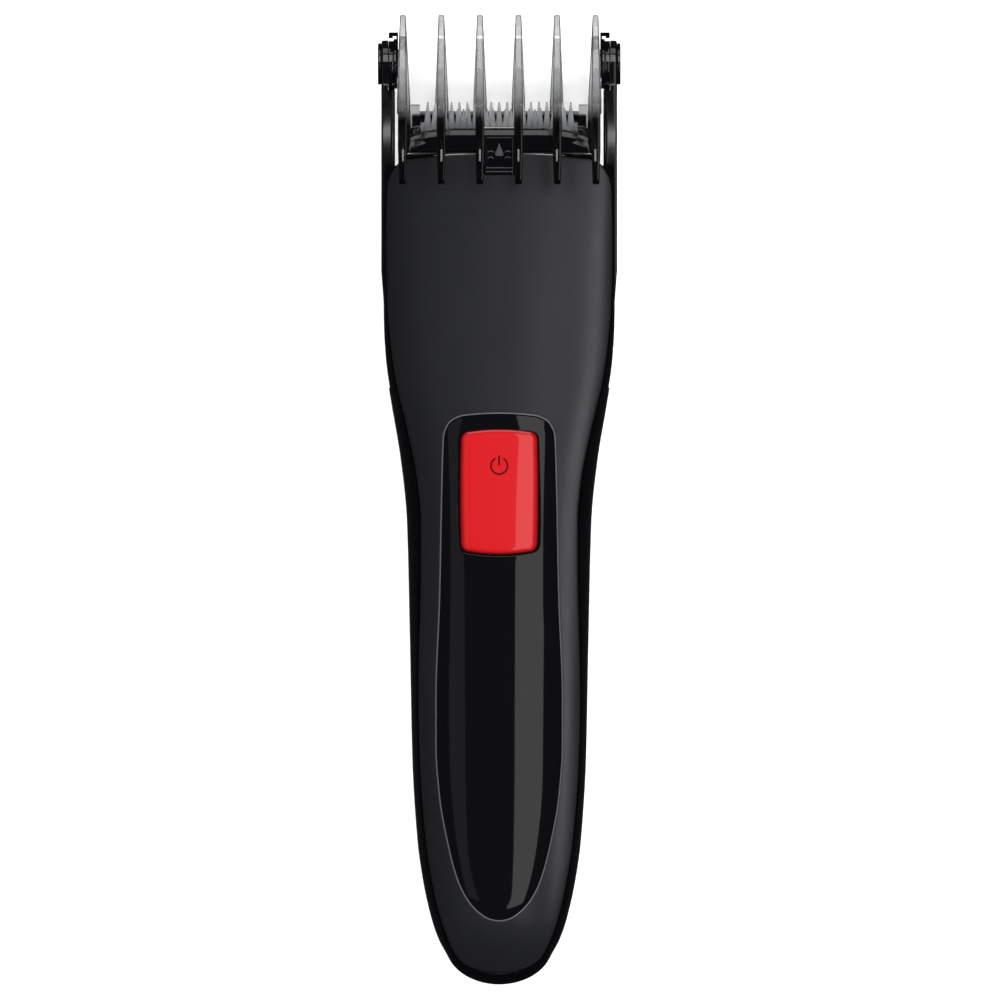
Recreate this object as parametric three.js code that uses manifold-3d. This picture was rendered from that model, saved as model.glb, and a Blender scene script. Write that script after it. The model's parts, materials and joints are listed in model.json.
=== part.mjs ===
// A cordless hair clipper with a pivoting six-rib comb, lying on its back.
// Millimetres. +Z is the front with the power button and +Y points to the blades.
// +X is the right of the front view.
// The origin is under the middle of its length, on the surface that the rear cover's flat rests on.
import * as THREE from "three";
import { mergeVertices } from "three/addons/utils/BufferGeometryUtils.js";
import Module from "manifold-3d";

const wasm = await Module();
wasm.setup();

// ---- Driving dimensions -------------------------------------------------------------------------
const GAP = 0.3; // clearance between neighbouring pieces
const MID_Z = 15; // height of the body's centre line and of the comb arms
const TAIL_Y = -97; // end of the handle
const LOFT_TOP_Y = 72; // where the body shape ends, inside the cutting head
const WALL = 2; // thickness of the covers
const CAVITY_HALF = 18.6; // half-width left inside where the comb grooves run
const SPLIT_Z = 20.6; // lower edge of the front cover beside the grooves

// Half-width, front height and back height of the body along its length: [y, value].
const HALF_WIDTH = [
  [-97, 9.2], [-92, 10.1], [-88, 12.1], [-84, 13.5], [-76, 15.3], [-68, 16.4], [-52, 17.4], [-28, 17.9],
  [-4, 18.5], [8, 19.7], [20, 21.7], [28, 22.9], [36, 23.4], [48, 23.6], [72, 23.6],
];
const FRONT_Z = [
  [-97, 22], [-88, 27], [-70, 30], [-40, 31.5], [-10, 32], [15, 31.5], [40, 30.5], [55, 29], [72, 26.2],
];
const BACK_Z = [
  [-97, 6], [-88, 2], [-70, -0.6], [-40, -0.8], [0, -0.8], [30, -0.5], [40, 1.2], [50, 3.4], [62, 6.8],
  [72, 11.3],
];
const TAIL_ROUND_X = 6; // length over which the tail rounds off in width
const TAIL_ROUND_Z = 14; // and in height
const FRONT_POWER = 2.4; // superellipse powers of the front and back halves of the section
const BACK_POWER = 2.8;

// Half-width of the matte front cover and of the glossy inlay: [y, value].
const COVER_HALF = [
  [-95.2, 0], [-94.2, 4.6], [-91, 8.6], [-84, 11.6], [-76, 13.5], [-68, 14.7], [-52, 15.9], [-40, 16.2],
  [-12, 15.7], [-4, 15.7], [4, 16.4], [12, 17.9], [20, 19.8], [24, 20.7], [32, 21.8], [40, 22.4],
  [62, 22.8], [64.5, 22], [66.4, 21], [67.7, 19.7], [68.3, 17.8], [69.2, 0],
];
const INLAY_HALF = [
  [-83.8, 0], [-83, 2.9], [-79, 6.7], [-75, 8.5], [-69, 10.1], [-59, 11.9], [-49, 12.6], [-39, 12.6],
  [-20, 11.9], [4, 11.4], [12.8, 11.1], [15.3, 10.1], [16.9, 7.5], [17.4, 0],
];
const INLAY_THICK = 0.9;
const INLAY_FIT = 0.15; // clearance round the inlay in its pocket

const BUTTON_HALF = 8; // power button
const BUTTON_Y = [-10.8, 14.4];
const BUTTON_CORNER = 1.8;
const BUTTON_BULGE = 0.5; // how far its ends bow out
const BUTTON_PROUD = 0.35;

const MOTOR_Z = 16; // motor axis
const MOTOR_R = 9.5;
const MOTOR_Y = [14.5, 40];
const CRANK = 0.75; // offset of the eccentric pin
const LEVER_PIVOT_Y = 62;
const LEVER_ARM = 10; // from the pivot to the tip, and to the eccentric pin
const LEVER_Z = [19.6, 21.6];

const BLADE_TILT = (20 * Math.PI) / 180; // the blades lean to the front
const GUARD_TIP = [79.7, 20]; // y, z of the guard's tips, on its skin side
const GUARD = { half: 17.7, length: 9, thick: 0.9, pitch: 1.59, teeth: 19, tooth: 4.2, end: 1.8 };
const CUTTER = {
  half: 14.8,
  bottom: -8.6,
  tip: -1.06,
  back: 1.15,
  front: 1.75,
  pitch: 1.19,
  teeth: 25,
  tooth: 3.7,
};
const TOOTH_ROOT = 0.42; // half-width of a tooth at its root, as a part of the pitch
const TOOTH_TIP = 0.22; // width of its tip, as a part of its root
const END_TOOTH_DROP = 0.5; // how far the wide end teeth stay below the tips

const HEAD_Y = 69.6; // face of the cutting head against the covers
const HEAD_HALF = 18.6;

const PIVOT_Y = 87.5; // comb hinge
const RIB_X = [3.85, 11.55, 19.25];
const TIP_Y = 97;
const ARM = { inner: 20.9, outer: 23.6, half: 3.8, bottom: 36, boss: 4.7, relief: 81.8, wideY: [79.3, 83] };
const NOTCH = { pitch: 2, half: 0.5, halfZ: 1.5, deep: 0.5, from: 4, to: 60 }; // steps inside the arms
const GROOVE = { inner: 20.5, half: 4.1, bottom: 22.6 };

const SELECTOR_Y = 46; // middle of the length selector on the back

// ---- Materials ----------------------------------------------------------------------------------
const paint = (color, roughness, metalness = 0, more = {}) => ({ color, roughness, metalness, ...more });
const MATTE_BLACK = paint(0x26282b, 0.6);
const GLOSS_BLACK = paint(0x0b0b0d, 0.12);
const RED = paint(0xd6141c, 0.35);
const SMOKE = paint(0x6f7275, 0.15, 0, { transparent: true, opacity: 0.55 });
const STEEL = paint(0xc4c7ca, 0.28, 1);
const ZINC = paint(0xa6a9ac, 0.4, 1);
const BRASS = paint(0xb08d4c, 0.35, 1);
const GREEN = paint(0x1c5134, 0.5);
const NYLON = paint(0xd9d6cc, 0.5);
const RUBBER = paint(0x1b1b1b, 0.9);
const CELL_WRAP = paint(0x3d7a4f, 0.4);
const WIRE_RED = paint(0xa81c1c, 0.5);
const WIRE_BLACK = paint(0x17171a, 0.5);

// ---- Geometry helpers ---------------------------------------------------------------------------
const WELD = 1e-4; // points closer than this are one

const clean = (geometry) => {
  geometry.deleteAttribute("normal");
  geometry.deleteAttribute("uv");
  return mergeVertices(geometry, WELD);
};

function solid(geometry) {
  const merged = clean(geometry);
  const vertProperties = new Float32Array(merged.attributes.position.array);
  const triVerts = new Uint32Array(merged.index.array);
  return new wasm.Manifold(new wasm.Mesh({ numProp: 3, vertProperties, triVerts }));
}

const join = (...solids) => solids.reduce((a, b) => a.add(b));
const cut = (a, ...solids) => solids.reduce((whole, b) => whole.subtract(b), a);
const common = (...solids) => solids.reduce((a, b) => a.intersect(b));

const group = new THREE.Group();

function add(name, shape, material) {
  const data = shape.getMesh();
  const points = new Float32Array(data.numVert * 3);
  for (let i = 0; i < data.numVert; i++) {
    points.set(data.vertProperties.subarray(i * data.numProp, i * data.numProp + 3), i * 3);
  }
  const geometry = new THREE.BufferGeometry();
  geometry.setAttribute("position", new THREE.BufferAttribute(points, 3));
  geometry.setIndex(new THREE.BufferAttribute(data.triVerts, 1));
  const mesh = new THREE.Mesh(geometry, new THREE.MeshStandardMaterial(material));
  mesh.name = name;
  group.add(mesh);
  return mesh;
}

// Adds a piece and its mirror image across the plane x = 0.
function addPair(name, shape, material) {
  add(name + "_left", shape, material);
  add(name + "_right", shape.mirror([1, 0, 0]), material);
}

function box(x, y, z) {
  const geometry = new THREE.BoxGeometry(x[1] - x[0], y[1] - y[0], z[1] - z[0]);
  geometry.translate((x[0] + x[1]) / 2, (y[0] + y[1]) / 2, (z[0] + z[1]) / 2);
  return solid(geometry);
}

// A round rod from one point to another along a main axis.
function rod(radius, from, to, sides = 20) {
  const a = new THREE.Vector3(...from);
  const b = new THREE.Vector3(...to);
  const geometry = new THREE.CylinderGeometry(radius, radius, a.distanceTo(b), sides);
  const along = b.clone().sub(a).normalize();
  geometry.applyQuaternion(new THREE.Quaternion().setFromUnitVectors(new THREE.Vector3(0, 1, 0), along));
  geometry.translate(...a.add(b).multiplyScalar(0.5).toArray());
  return solid(geometry);
}

const shapeOf = (points) => new THREE.Shape(points.map(([x, y]) => new THREE.Vector2(x, y)));

// An outline in x and y, extruded along z.
function prismZ(points, z0, z1) {
  const geometry = new THREE.ExtrudeGeometry(shapeOf(points), { depth: z1 - z0, bevelEnabled: false });
  geometry.translate(0, 0, z0);
  return solid(geometry);
}

// An outline in y and z, extruded along x.
const YZ_TO_WORLD = new THREE.Matrix4().makeBasis(
  new THREE.Vector3(0, 1, 0),
  new THREE.Vector3(0, 0, 1),
  new THREE.Vector3(1, 0, 0),
);
function prismX(points, x0, x1) {
  const geometry = new THREE.ExtrudeGeometry(shapeOf(points), { depth: x1 - x0, bevelEnabled: false });
  geometry.translate(0, 0, x0);
  return solid(geometry.applyMatrix4(YZ_TO_WORLD));
}

// A smooth curve through [y, value] pairs that doesn't overshoot between them (a monotone cubic).
function through(pairs) {
  const slope = pairs.slice(1).map(([y, v], i) => (v - pairs[i][1]) / (y - pairs[i][0]));
  const tangent = pairs.map((_, i) => {
    const before = slope[i - 1] ?? slope[i];
    const after = slope[i] ?? before;
    return before * after <= 0 ? 0 : (2 * before * after) / (before + after);
  });
  return (y) => {
    const i = Math.max(0, Math.min(pairs.length - 2, pairs.findIndex((p) => p[0] > y) - 1));
    const last = y >= pairs[pairs.length - 1][0] ? pairs.length - 2 : i;
    const [y0, v0] = pairs[last];
    const [y1, v1] = pairs[last + 1];
    const h = y1 - y0;
    const t = (y - y0) / h;
    const rise = v0 * (1 + 2 * t) * (1 - t) ** 2 + v1 * t * t * (3 - 2 * t);
    return rise + h * (tangent[last] * t * (1 - t) ** 2 - tangent[last + 1] * t * t * (1 - t));
  };
}

const halfWidth = through(HALF_WIDTH);
const frontZ = through(FRONT_Z);
const backZ = through(BACK_Z);
const roundOff = (t, length) => (t >= length ? 1 : Math.sqrt(Math.max(0, 1 - (1 - t / length) ** 2)));

// Half-width, front height and back depth of the body section at y, drawn in by inset on every side.
function section(y, inset) {
  const t = y - TAIL_Y - inset;
  const x = roundOff(t, TAIL_ROUND_X);
  const z = roundOff(t, TAIL_ROUND_Z);
  return {
    half: (halfWidth(y) - inset) * x,
    front: (frontZ(y) - MID_Z - inset) * z,
    back: (MID_Z - backZ(y) - inset) * z,
  };
}

const power = (v, n) => Math.sign(v) * Math.abs(v) ** (2 / n);

// The closed body shape, drawn in by inset. Its half-width is held to most beside the arms' grooves.
const RING = 32;
const GROOVE_LEAD = 6; // how far below the grooves the body is already narrowed
function bodyShape(inset, topY = LOFT_TOP_Y, most = Infinity) {
  const start = TAIL_Y + inset;
  const near = [0.12, 0.6, 1.4, 2.6, 4.2, 6, 8.8, 14];
  const far = [22, 32, 45, 60, 75, 88, 97, 105, 113, 121, 130, 143, 157, 166];
  const stations = [...near, ...far].map((t) => start + t).filter((y) => y < topY - 1);
  stations.push(topY);
  const points = [];
  for (const y of stations) {
    const s = section(y, inset);
    const half = y > GROOVE.bottom - GROOVE_LEAD ? Math.min(s.half, most) : s.half;
    for (let k = 0; k < RING; k++) {
      const angle = (2 * Math.PI * k) / RING;
      const up = Math.sin(angle) >= 0;
      const n = up ? FRONT_POWER : BACK_POWER;
      const height = up ? s.front : s.back;
      points.push(half * power(Math.cos(angle), n), y, MID_Z + height * power(Math.sin(angle), n));
    }
  }
  const tail = points.length / 3;
  points.push(0, start, MID_Z, 0, topY, MID_Z);
  const faces = [];
  for (let k = 0; k < RING; k++) {
    const next = (k + 1) % RING;
    faces.push(tail, k, next);
    for (let i = 0; i < stations.length - 1; i++) {
      const a = i * RING;
      const b = a + RING;
      faces.push(a + k, b + k, b + next, a + k, b + next, a + next);
    }
    const end = (stations.length - 1) * RING;
    faces.push(tail + 1, end + next, end + k);
  }
  const geometry = new THREE.BufferGeometry();
  geometry.setAttribute("position", new THREE.BufferAttribute(new Float32Array(points), 3));
  geometry.setIndex(faces);
  return solid(geometry);
}

// A closed outline, the same on both sides of x = 0, from a table of [y, half-width] and grown by grow.
// Near its ends, where it runs across, it grows less sideways.
const NEAR_GROWTH = 0.25;
const FULL_GROWTH_X = 5;
function outline(table, grow = 0, between = 2) {
  const half = through(table);
  const right = [];
  table.slice(0, -1).forEach(([y], i) => {
    for (let k = 0; k < between; k++) {
      const at = y + ((table[i + 1][0] - y) * k) / between;
      if (i || k) right.push([half(at), at]);
    }
  });
  const middle = (table[0][0] + table[table.length - 1][0]) / 2;
  const reach = (table[table.length - 1][0] - table[0][0]) / 2;
  const swell = ([x, y]) => [
    x + grow * Math.min(1, NEAR_GROWTH + x / FULL_GROWTH_X),
    y + (grow * (y - middle)) / reach,
  ];
  const side = right.map(swell);
  const low = [0, table[0][0] - grow];
  const high = [0, table[table.length - 1][0] + grow];
  return [low, ...side, high, ...side.map(([x, y]) => [-x, y]).reverse()];
}

// A barrel-shaped outline with round corners: the power button and its openings.
const CORNER_STEPS = 3;
function buttonOutline(grow) {
  const half = BUTTON_HALF + grow;
  const r = BUTTON_CORNER + grow;
  const points = [];
  const corners = [
    [half - r, BUTTON_Y[1] + grow - r - BUTTON_BULGE, 0],
    [-half + r, BUTTON_Y[1] + grow - r - BUTTON_BULGE, 1],
    [-half + r, BUTTON_Y[0] - grow + r + BUTTON_BULGE, 2],
    [half - r, BUTTON_Y[0] - grow + r + BUTTON_BULGE, 3],
  ];
  for (const [x, y, quarter] of corners) {
    for (let k = 0; k <= CORNER_STEPS; k++) {
      const angle = (Math.PI / 2) * (quarter + k / CORNER_STEPS);
      points.push([x + r * Math.cos(angle), y + r * Math.sin(angle)]);
    }
    if (quarter === 0) points.push([0, BUTTON_Y[1] + grow]);
    if (quarter === 2) points.push([0, BUTTON_Y[0] - grow]);
  }
  return points;
}

// ---- Covers -------------------------------------------------------------------------------------
const outer = bodyShape(0);
const cavity = bodyShape(WALL, LOFT_TOP_Y + 1, CAVITY_HALF);
const shell = cut(outer, cavity);
const BIG = 120; // beyond the object sideways and lengthways
const FAR_UP = 60; // and above it
const BELOW = -5;
const aboveTable = box([-BIG, BIG], [-BIG, BIG], [0, FAR_UP]);
const TOP_Y = 69.2; // upper edge of the covers in the middle
const SHOULDER = { x: 19.6, y: 67 }; // and where they step down beside the head
const shoulders = join(
  box([-BIG, BIG], [TOP_Y, BIG], [BELOW, FAR_UP]),
  box([SHOULDER.x, BIG], [SHOULDER.y, BIG], [BELOW, FAR_UP]),
  box([-BIG, -SHOULDER.x], [SHOULDER.y, BIG], [BELOW, FAR_UP]),
);
const TAB = { half: 3, bottom: 65, inset: 0.25, thick: 1.6 };

function frontCover() {
  const blank = common(shell, prismZ(outline(COVER_HALF), SPLIT_Z, FAR_UP));
  const pocket = cut(
    common(prismZ(outline(INLAY_HALF, INLAY_FIT), MID_Z, FAR_UP), bodyShape(-WALL)),
    bodyShape(INLAY_THICK + GAP, TOP_Y),
  );
  const notch = box([-TAB.half - GAP, TAB.half + GAP], [TAB.bottom - GAP, BIG], [SPLIT_Z, FAR_UP]);
  const opening = prismZ(buttonOutline(GAP), SPLIT_Z, FAR_UP);
  return cut(blank, pocket, notch, opening);
}

const SELECTOR = { half: 5, long: 3.4, stem: [0.6, 6], flange: [5.7, 6.2], brim: 1 };
const SOCKET = { half: 4.5, y: [-92.4, -83], z: [7, 12.4], wall: 0.8, back: 1.5 };
const SOCKET_PIN = { x: 1.9, r: 0.75, hole: 1.1, inset: 2 };
const CELL = { r: 6.8, x: 7.1, y: [-60, -11], z: 11, strip: 0.4, stripHalf: 2, tabHalf: 1.8, linkHalf: 9 };
const POST_Y = [-65.5, -5.5]; // posts under the circuit board
const POST = { r: 2.4, bore: 0.9, boreLow: 8 };
const BOARD_SCREW = { head: 1.9, high: 1.2, r: 0.7, low: 14, hole: 1.2 };
const BOARD = { half: 10, y: [-69, 12], z: [20, 21.2] };
const FRAME_SCREW = { x: 13, y: [47, 60], r: 1.25, head: 2.2, high: 1.4, low: 9, boss: 2.6 };
const FRAME_SCREW_HOLE_Z = [8.4, 20];
const FRAME_Z = [12.4, 14];
const FOOT_SINK = 0.6; // how far posts and bosses sink into the wall they stand on

// A rod at each of the four frame screws.
const atFrameScrews = (radius, low, high, sides) =>
  FRAME_SCREW.y.flatMap((y) =>
    [-FRAME_SCREW.x, FRAME_SCREW.x].map((x) => rod(radius, [x, y, low(y)], [x, y, high], sides)),
  );

function rearCover() {
  const front = prismZ(outline(COVER_HALF, GAP), SPLIT_Z - GAP, FAR_UP);
  const grooveZ = [MID_Z - GROOVE.half, MID_Z + GROOVE.half];
  const groove = box([GROOVE.inner, BIG], [GROOVE.bottom, BIG], grooveZ);
  const selector = box(
    [-SELECTOR.half - GAP, SELECTOR.half + GAP],
    [SELECTOR_Y - SELECTOR.long - GAP, SELECTOR_Y + SELECTOR.long + GAP],
    [BELOW, MID_Z],
  );
  const socket = box(
    [-SOCKET.half - GAP, SOCKET.half + GAP],
    [TAIL_Y - 1, SOCKET.y[1] + GAP],
    [SOCKET.z[0] - GAP, SOCKET.z[1] + GAP],
  );
  const floor = (y) => backZ(y) + WALL - FOOT_SINK;
  const posts = POST_Y.map((y) => rod(POST.r, [0, y, floor(y)], [0, y, BOARD.z[0] - GAP]));
  const bosses = atFrameScrews(FRAME_SCREW.boss, floor, FRAME_Z[0] - GAP, 20);
  const screwHoles = join(
    ...POST_Y.map((y) => rod(POST.bore, [0, y, POST.boreLow], [0, y, FAR_UP], 12)),
    ...atFrameScrews(FRAME_SCREW.r + GAP, () => FRAME_SCREW_HOLE_Z[0], FRAME_SCREW_HOLE_Z[1], 12),
  );
  const grooves = join(groove, groove.mirror([1, 0, 0]));
  const body = cut(common(shell, aboveTable), front, grooves, selector, socket, shoulders);
  return cut(join(body, ...posts, ...bosses), screwHoles);
}

function inlayPanel() {
  const blank = common(outer, prismZ(outline(INLAY_HALF, -INLAY_FIT), MID_Z, FAR_UP));
  const plate = cut(blank, bodyShape(INLAY_THICK, TOP_Y));
  return cut(plate, prismZ(buttonOutline(GAP), MID_Z, FAR_UP));
}

// ---- Power button and electronics ---------------------------------------------------------------
const BUTTON_CAP_Z = 26.8; // underside of the button
const FLANGE = { top: 27.6, grow: 1.1 };
const SWITCH_Y = (BUTTON_Y[0] + BUTTON_Y[1]) / 2;
const SWITCH = { half: 3, z: [21.5, 24.6], plunger: 1.2, hole: 1.6, floor: 0.8, dip: 0.4 };

function powerButton() {
  const cap = common(prismZ(buttonOutline(0), BUTTON_CAP_Z, FAR_UP), bodyShape(-BUTTON_PROUD));
  const flange = prismZ(buttonOutline(FLANGE.grow), BUTTON_CAP_Z, FLANGE.top);
  return join(cap, flange);
}

function electronics() {
  const board = cut(
    box([-BOARD.half, BOARD.half], BOARD.y, BOARD.z),
    ...POST_Y.map((y) => rod(BOARD_SCREW.hole, [0, y, BOARD.z[0] - 1], [0, y, BOARD.z[1] + 1], 12)),
  );
  add("circuit_board", board, GREEN);
  POST_Y.forEach((y, i) => {
    const seat = BOARD.z[1] + GAP;
    const head = rod(BOARD_SCREW.head, [0, y, seat], [0, y, seat + BOARD_SCREW.high], 16);
    const shank = rod(BOARD_SCREW.r, [0, y, BOARD_SCREW.low], [0, y, seat + BOARD_SCREW.high / 2], 10);
    add(`board_screw_${i + 1}`, join(head, shank), ZINC);
  });
  const around = [SWITCH_Y - SWITCH.half, SWITCH_Y + SWITCH.half];
  const body = cut(
    box([-SWITCH.half, SWITCH.half], around, SWITCH.z),
    rod(SWITCH.hole, [0, SWITCH_Y, SWITCH.z[0] + SWITCH.floor], [0, SWITCH_Y, FAR_UP], 16),
  );
  add("switch_body", body, MATTE_BLACK);
  const plungerFoot = [0, SWITCH_Y, SWITCH.z[1] - SWITCH.dip];
  const plungerTop = [0, SWITCH_Y, BUTTON_CAP_Z - GAP];
  add("switch_plunger", rod(SWITCH.plunger, plungerFoot, plungerTop, 16), NYLON);

  const cell = rod(CELL.r, [CELL.x, CELL.y[0], CELL.z], [CELL.x, CELL.y[1], CELL.z], 24);
  addPair("battery_cell", cell, CELL_WRAP);
  const linkY = [CELL.y[0] - GAP - CELL.strip, CELL.y[0] - GAP];
  const linkZ = [CELL.z - CELL.stripHalf, CELL.z + CELL.stripHalf];
  add("cell_link", box([-CELL.linkHalf, CELL.linkHalf], linkY, linkZ), ZINC);
  const tabX = [CELL.x - CELL.tabHalf, CELL.x + CELL.tabHalf];
  const tabY = [CELL.y[1] + GAP, CELL.y[1] + GAP + CELL.strip];
  addPair("cell_tab", box(tabX, tabY, [CELL.z - CELL.stripHalf, BOARD.z[0] - GAP]), ZINC);

  const outside = box([-SOCKET.half, SOCKET.half], SOCKET.y, SOCKET.z);
  const pocketX = SOCKET.half - SOCKET.wall;
  const pocketZ = [SOCKET.z[0] + SOCKET.wall, SOCKET.z[1] - SOCKET.wall];
  const pocket = box([-pocketX, pocketX], [TAIL_Y, SOCKET.y[1] - SOCKET.back], pocketZ);
  const pinZ = (SOCKET.z[0] + SOCKET.z[1]) / 2;
  const pinAt = (y) => [SOCKET_PIN.x, y, pinZ];
  const pinHole = rod(SOCKET_PIN.hole, pinAt(SOCKET.y[0]), pinAt(SOCKET.y[1] + 1), 12);
  add("charge_socket", cut(outside, pocket, pinHole, pinHole.mirror([1, 0, 0])), GLOSS_BLACK);
  const pinEnds = SOCKET.y.map((y) => pinAt(y + SOCKET_PIN.inset));
  const pin = rod(SOCKET_PIN.r, ...pinEnds, 12);
  addPair("socket_pin", pin, ZINC);
}

const LEAD_R = 0.55;

// A lead from the top of the board over to the motor's end cap.
function motorLead(side) {
  const route = new THREE.CatmullRomCurve3([
    new THREE.Vector3(side * 8, 5, BOARD.z[1] + GAP),
    new THREE.Vector3(side * 8.2, 6.5, 23.6),
    new THREE.Vector3(side * 7.4, 9.4, 23.6),
    new THREE.Vector3(side * 5.4, MOTOR_Y[0] - 2.1, 22.4),
  ]);
  const ring = new THREE.Shape().absarc(0, 0, LEAD_R, 0, 2 * Math.PI);
  const sweep = { steps: 10, curveSegments: 4, extrudePath: route, bevelEnabled: false };
  const tube = new THREE.ExtrudeGeometry(ring, sweep);
  return solid(tube);
}

// ---- Drive --------------------------------------------------------------------------------------
const SHAFT_R = 1;
const SHAFT_SUNK = 7; // depth of the shaft's bore in the can
const NOSE = { r: 3, long: 1.4 }; // the can's bearing nose
const END_CAP = { drop: 0.4, thick: 1.5 };
const HUB_Y = [-6.6, -2.4]; // eccentric's hub, from the middle of its pin
const HUB_R = 3;
const PIN_R = 0.9; // eccentric pin
const PIN_PAST = 2.2; // its length past its middle
const PIVOT_R = 1.5; // lever's pivot pin
const FRAME = {
  half: 15.5,
  top: 64.8,
  wallHalf: 11,
  wallTop: 24.5,
  wallY: [1.8, 3.6], // from the end of the motor
  wellHalf: 4,
  seat: 3.4,
};
const CRANK_Y = LEVER_PIVOT_Y - LEVER_ARM;

function drive() {
  const onAxis = (y) => [0, y, MOTOR_Z];
  const can = rod(MOTOR_R, onAxis(MOTOR_Y[0]), onAxis(MOTOR_Y[1]), 28);
  const nose = rod(NOSE.r, onAxis(MOTOR_Y[1] - 1), onAxis(MOTOR_Y[1] + NOSE.long), 20);
  const bore = rod(SHAFT_R + GAP, onAxis(MOTOR_Y[1] - SHAFT_SUNK), onAxis(MOTOR_Y[1] + NOSE.long + 1), 14);
  add("motor_can", cut(join(can, nose), bore), STEEL);
  const capEnds = [onAxis(MOTOR_Y[0] - END_CAP.thick), onAxis(MOTOR_Y[0] - GAP)];
  add("motor_end_cap", rod(MOTOR_R - END_CAP.drop, ...capEnds, 24), NYLON);
  const hubY = [CRANK_Y + HUB_Y[0], CRANK_Y + HUB_Y[1]];
  const shaftTop = hubY[1] - 0.8;
  add("motor_shaft", rod(SHAFT_R, onAxis(MOTOR_Y[1] - SHAFT_SUNK + 0.5), onAxis(shaftTop), 16), STEEL);

  const hub = cut(
    rod(HUB_R, onAxis(hubY[0]), onAxis(hubY[1]), 20),
    rod(SHAFT_R + GAP, onAxis(hubY[0] - 1), onAxis(shaftTop + GAP), 14),
  );
  const pin = rod(PIN_R, [CRANK, hubY[1] - 0.4, MOTOR_Z], [CRANK, CRANK_Y + PIN_PAST, MOTOR_Z], 12);
  add("eccentric", join(hub, pin), NYLON);

  const wallY = FRAME.wallY.map((y) => MOTOR_Y[1] + y);
  const floor = box([-FRAME.half, FRAME.half], [wallY[0], FRAME.top], FRAME_Z);
  const wall = cut(
    box([-FRAME.wallHalf, FRAME.wallHalf], wallY, [FRAME_Z[0], FRAME.wallTop]),
    rod(SHAFT_R + 1, onAxis(wallY[0] - 1), onAxis(wallY[1] + 1), 16),
  );
  const wellY = [wallY[1], CRANK_Y + PIN_PAST + 1];
  const well = box([-FRAME.wellHalf, FRAME.wellHalf], wellY, [FRAME_Z[0] - 1, FRAME_Z[1] + 1]);
  const onPivot = (z) => [0, LEVER_PIVOT_Y, z];
  const seat = rod(FRAME.seat, onPivot(FRAME_Z[0]), onPivot(LEVER_Z[0] - GAP));
  const pinBore = rod(PIVOT_R + GAP, onPivot(FRAME_Z[0] + 0.8), onPivot(FAR_UP));
  const screwHoles = atFrameScrews(FRAME_SCREW.r + GAP, () => BELOW, FRAME_SCREW_HOLE_Z[1], 12);
  add("drive_frame", cut(join(cut(join(floor, wall), well), seat), pinBore, ...screwHoles), MATTE_BLACK);
  const headZ = FRAME_Z[1] + GAP;
  const heads = atFrameScrews(FRAME_SCREW.head, () => headZ, headZ + FRAME_SCREW.high, 16);
  const shanks = atFrameScrews(FRAME_SCREW.r, () => FRAME_SCREW.low, FRAME_Z[1] + 1, 12);
  heads.forEach((head, i) => add(`frame_screw_${i + 1}`, join(head, shanks[i]), ZINC));
  add("lever_pivot_pin", rod(PIVOT_R, onPivot(FRAME_Z[0] + 1.1), onPivot(LEVER_Z[1] + 0.8)), STEEL);
}

const TIP_Y_LEVER = LEVER_PIVOT_Y + LEVER_ARM;
const TIP_R = 1.2;
const FORK_INNER = 2 * CRANK + PIN_R + 0.25;
const FORK = { outer: FORK_INNER + 1.4, half: 2, reach: 1.8 }; // prongs beside the eccentric pin
const PLATE_HALF = 3.2; // lever's plate round its pivot

function driveLever() {
  const forkY = [CRANK_Y - FORK.half, CRANK_Y + FORK.half];
  const plate = box([-PLATE_HALF, PLATE_HALF], [forkY[0], LEVER_PIVOT_Y + PLATE_HALF], LEVER_Z);
  const neck = box([-TIP_R, TIP_R], [LEVER_PIVOT_Y, TIP_Y_LEVER], LEVER_Z);
  const tip = rod(TIP_R, [0, TIP_Y_LEVER, LEVER_Z[0]], [0, TIP_Y_LEVER, LEVER_Z[1]], 16);
  const bridge = box([-FORK.outer, FORK.outer], forkY, LEVER_Z);
  const prong = box([FORK_INNER, FORK.outer], forkY, [MOTOR_Z - FORK.reach, LEVER_Z[1]]);
  const bore = rod(PIVOT_R + GAP, [0, LEVER_PIVOT_Y, 0], [0, LEVER_PIVOT_Y, FAR_UP]);
  return cut(join(plate, neck, tip, bridge, prong, prong.mirror([1, 0, 0])), bore);
}

const SEAL_Y = [66.1, 67.3];

function leverSeal() {
  const slab = box([-BIG, BIG], SEAL_Y, [BELOW, FAR_UP]);
  const disc = common(bodyShape(WALL + GAP, LOFT_TOP_Y, CAVITY_HALF - GAP), slab);
  const slotX = TIP_R + CRANK + 0.4;
  const slotY = [SEAL_Y[0] - 1, SEAL_Y[1] + 1];
  const slot = box([-slotX, slotX], slotY, [LEVER_Z[0] - GAP, LEVER_Z[1] + GAP]);
  return cut(disc, slot);
}

// ---- Cutting head -------------------------------------------------------------------------------
// The blades are drawn with their tips at y = 0 and their skin side at z = 0.
// They are then leant forward and put in place.
function leant(shape) {
  return shape.rotate([(BLADE_TILT * 180) / Math.PI, 0, 0]).translate([0, ...GUARD_TIP]);
}

// Height of the guard's skin side at y.
const guardBackZ = (y) => GUARD_TIP[1] + (y - GUARD_TIP[0]) * Math.tan(BLADE_TILT);

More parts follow.
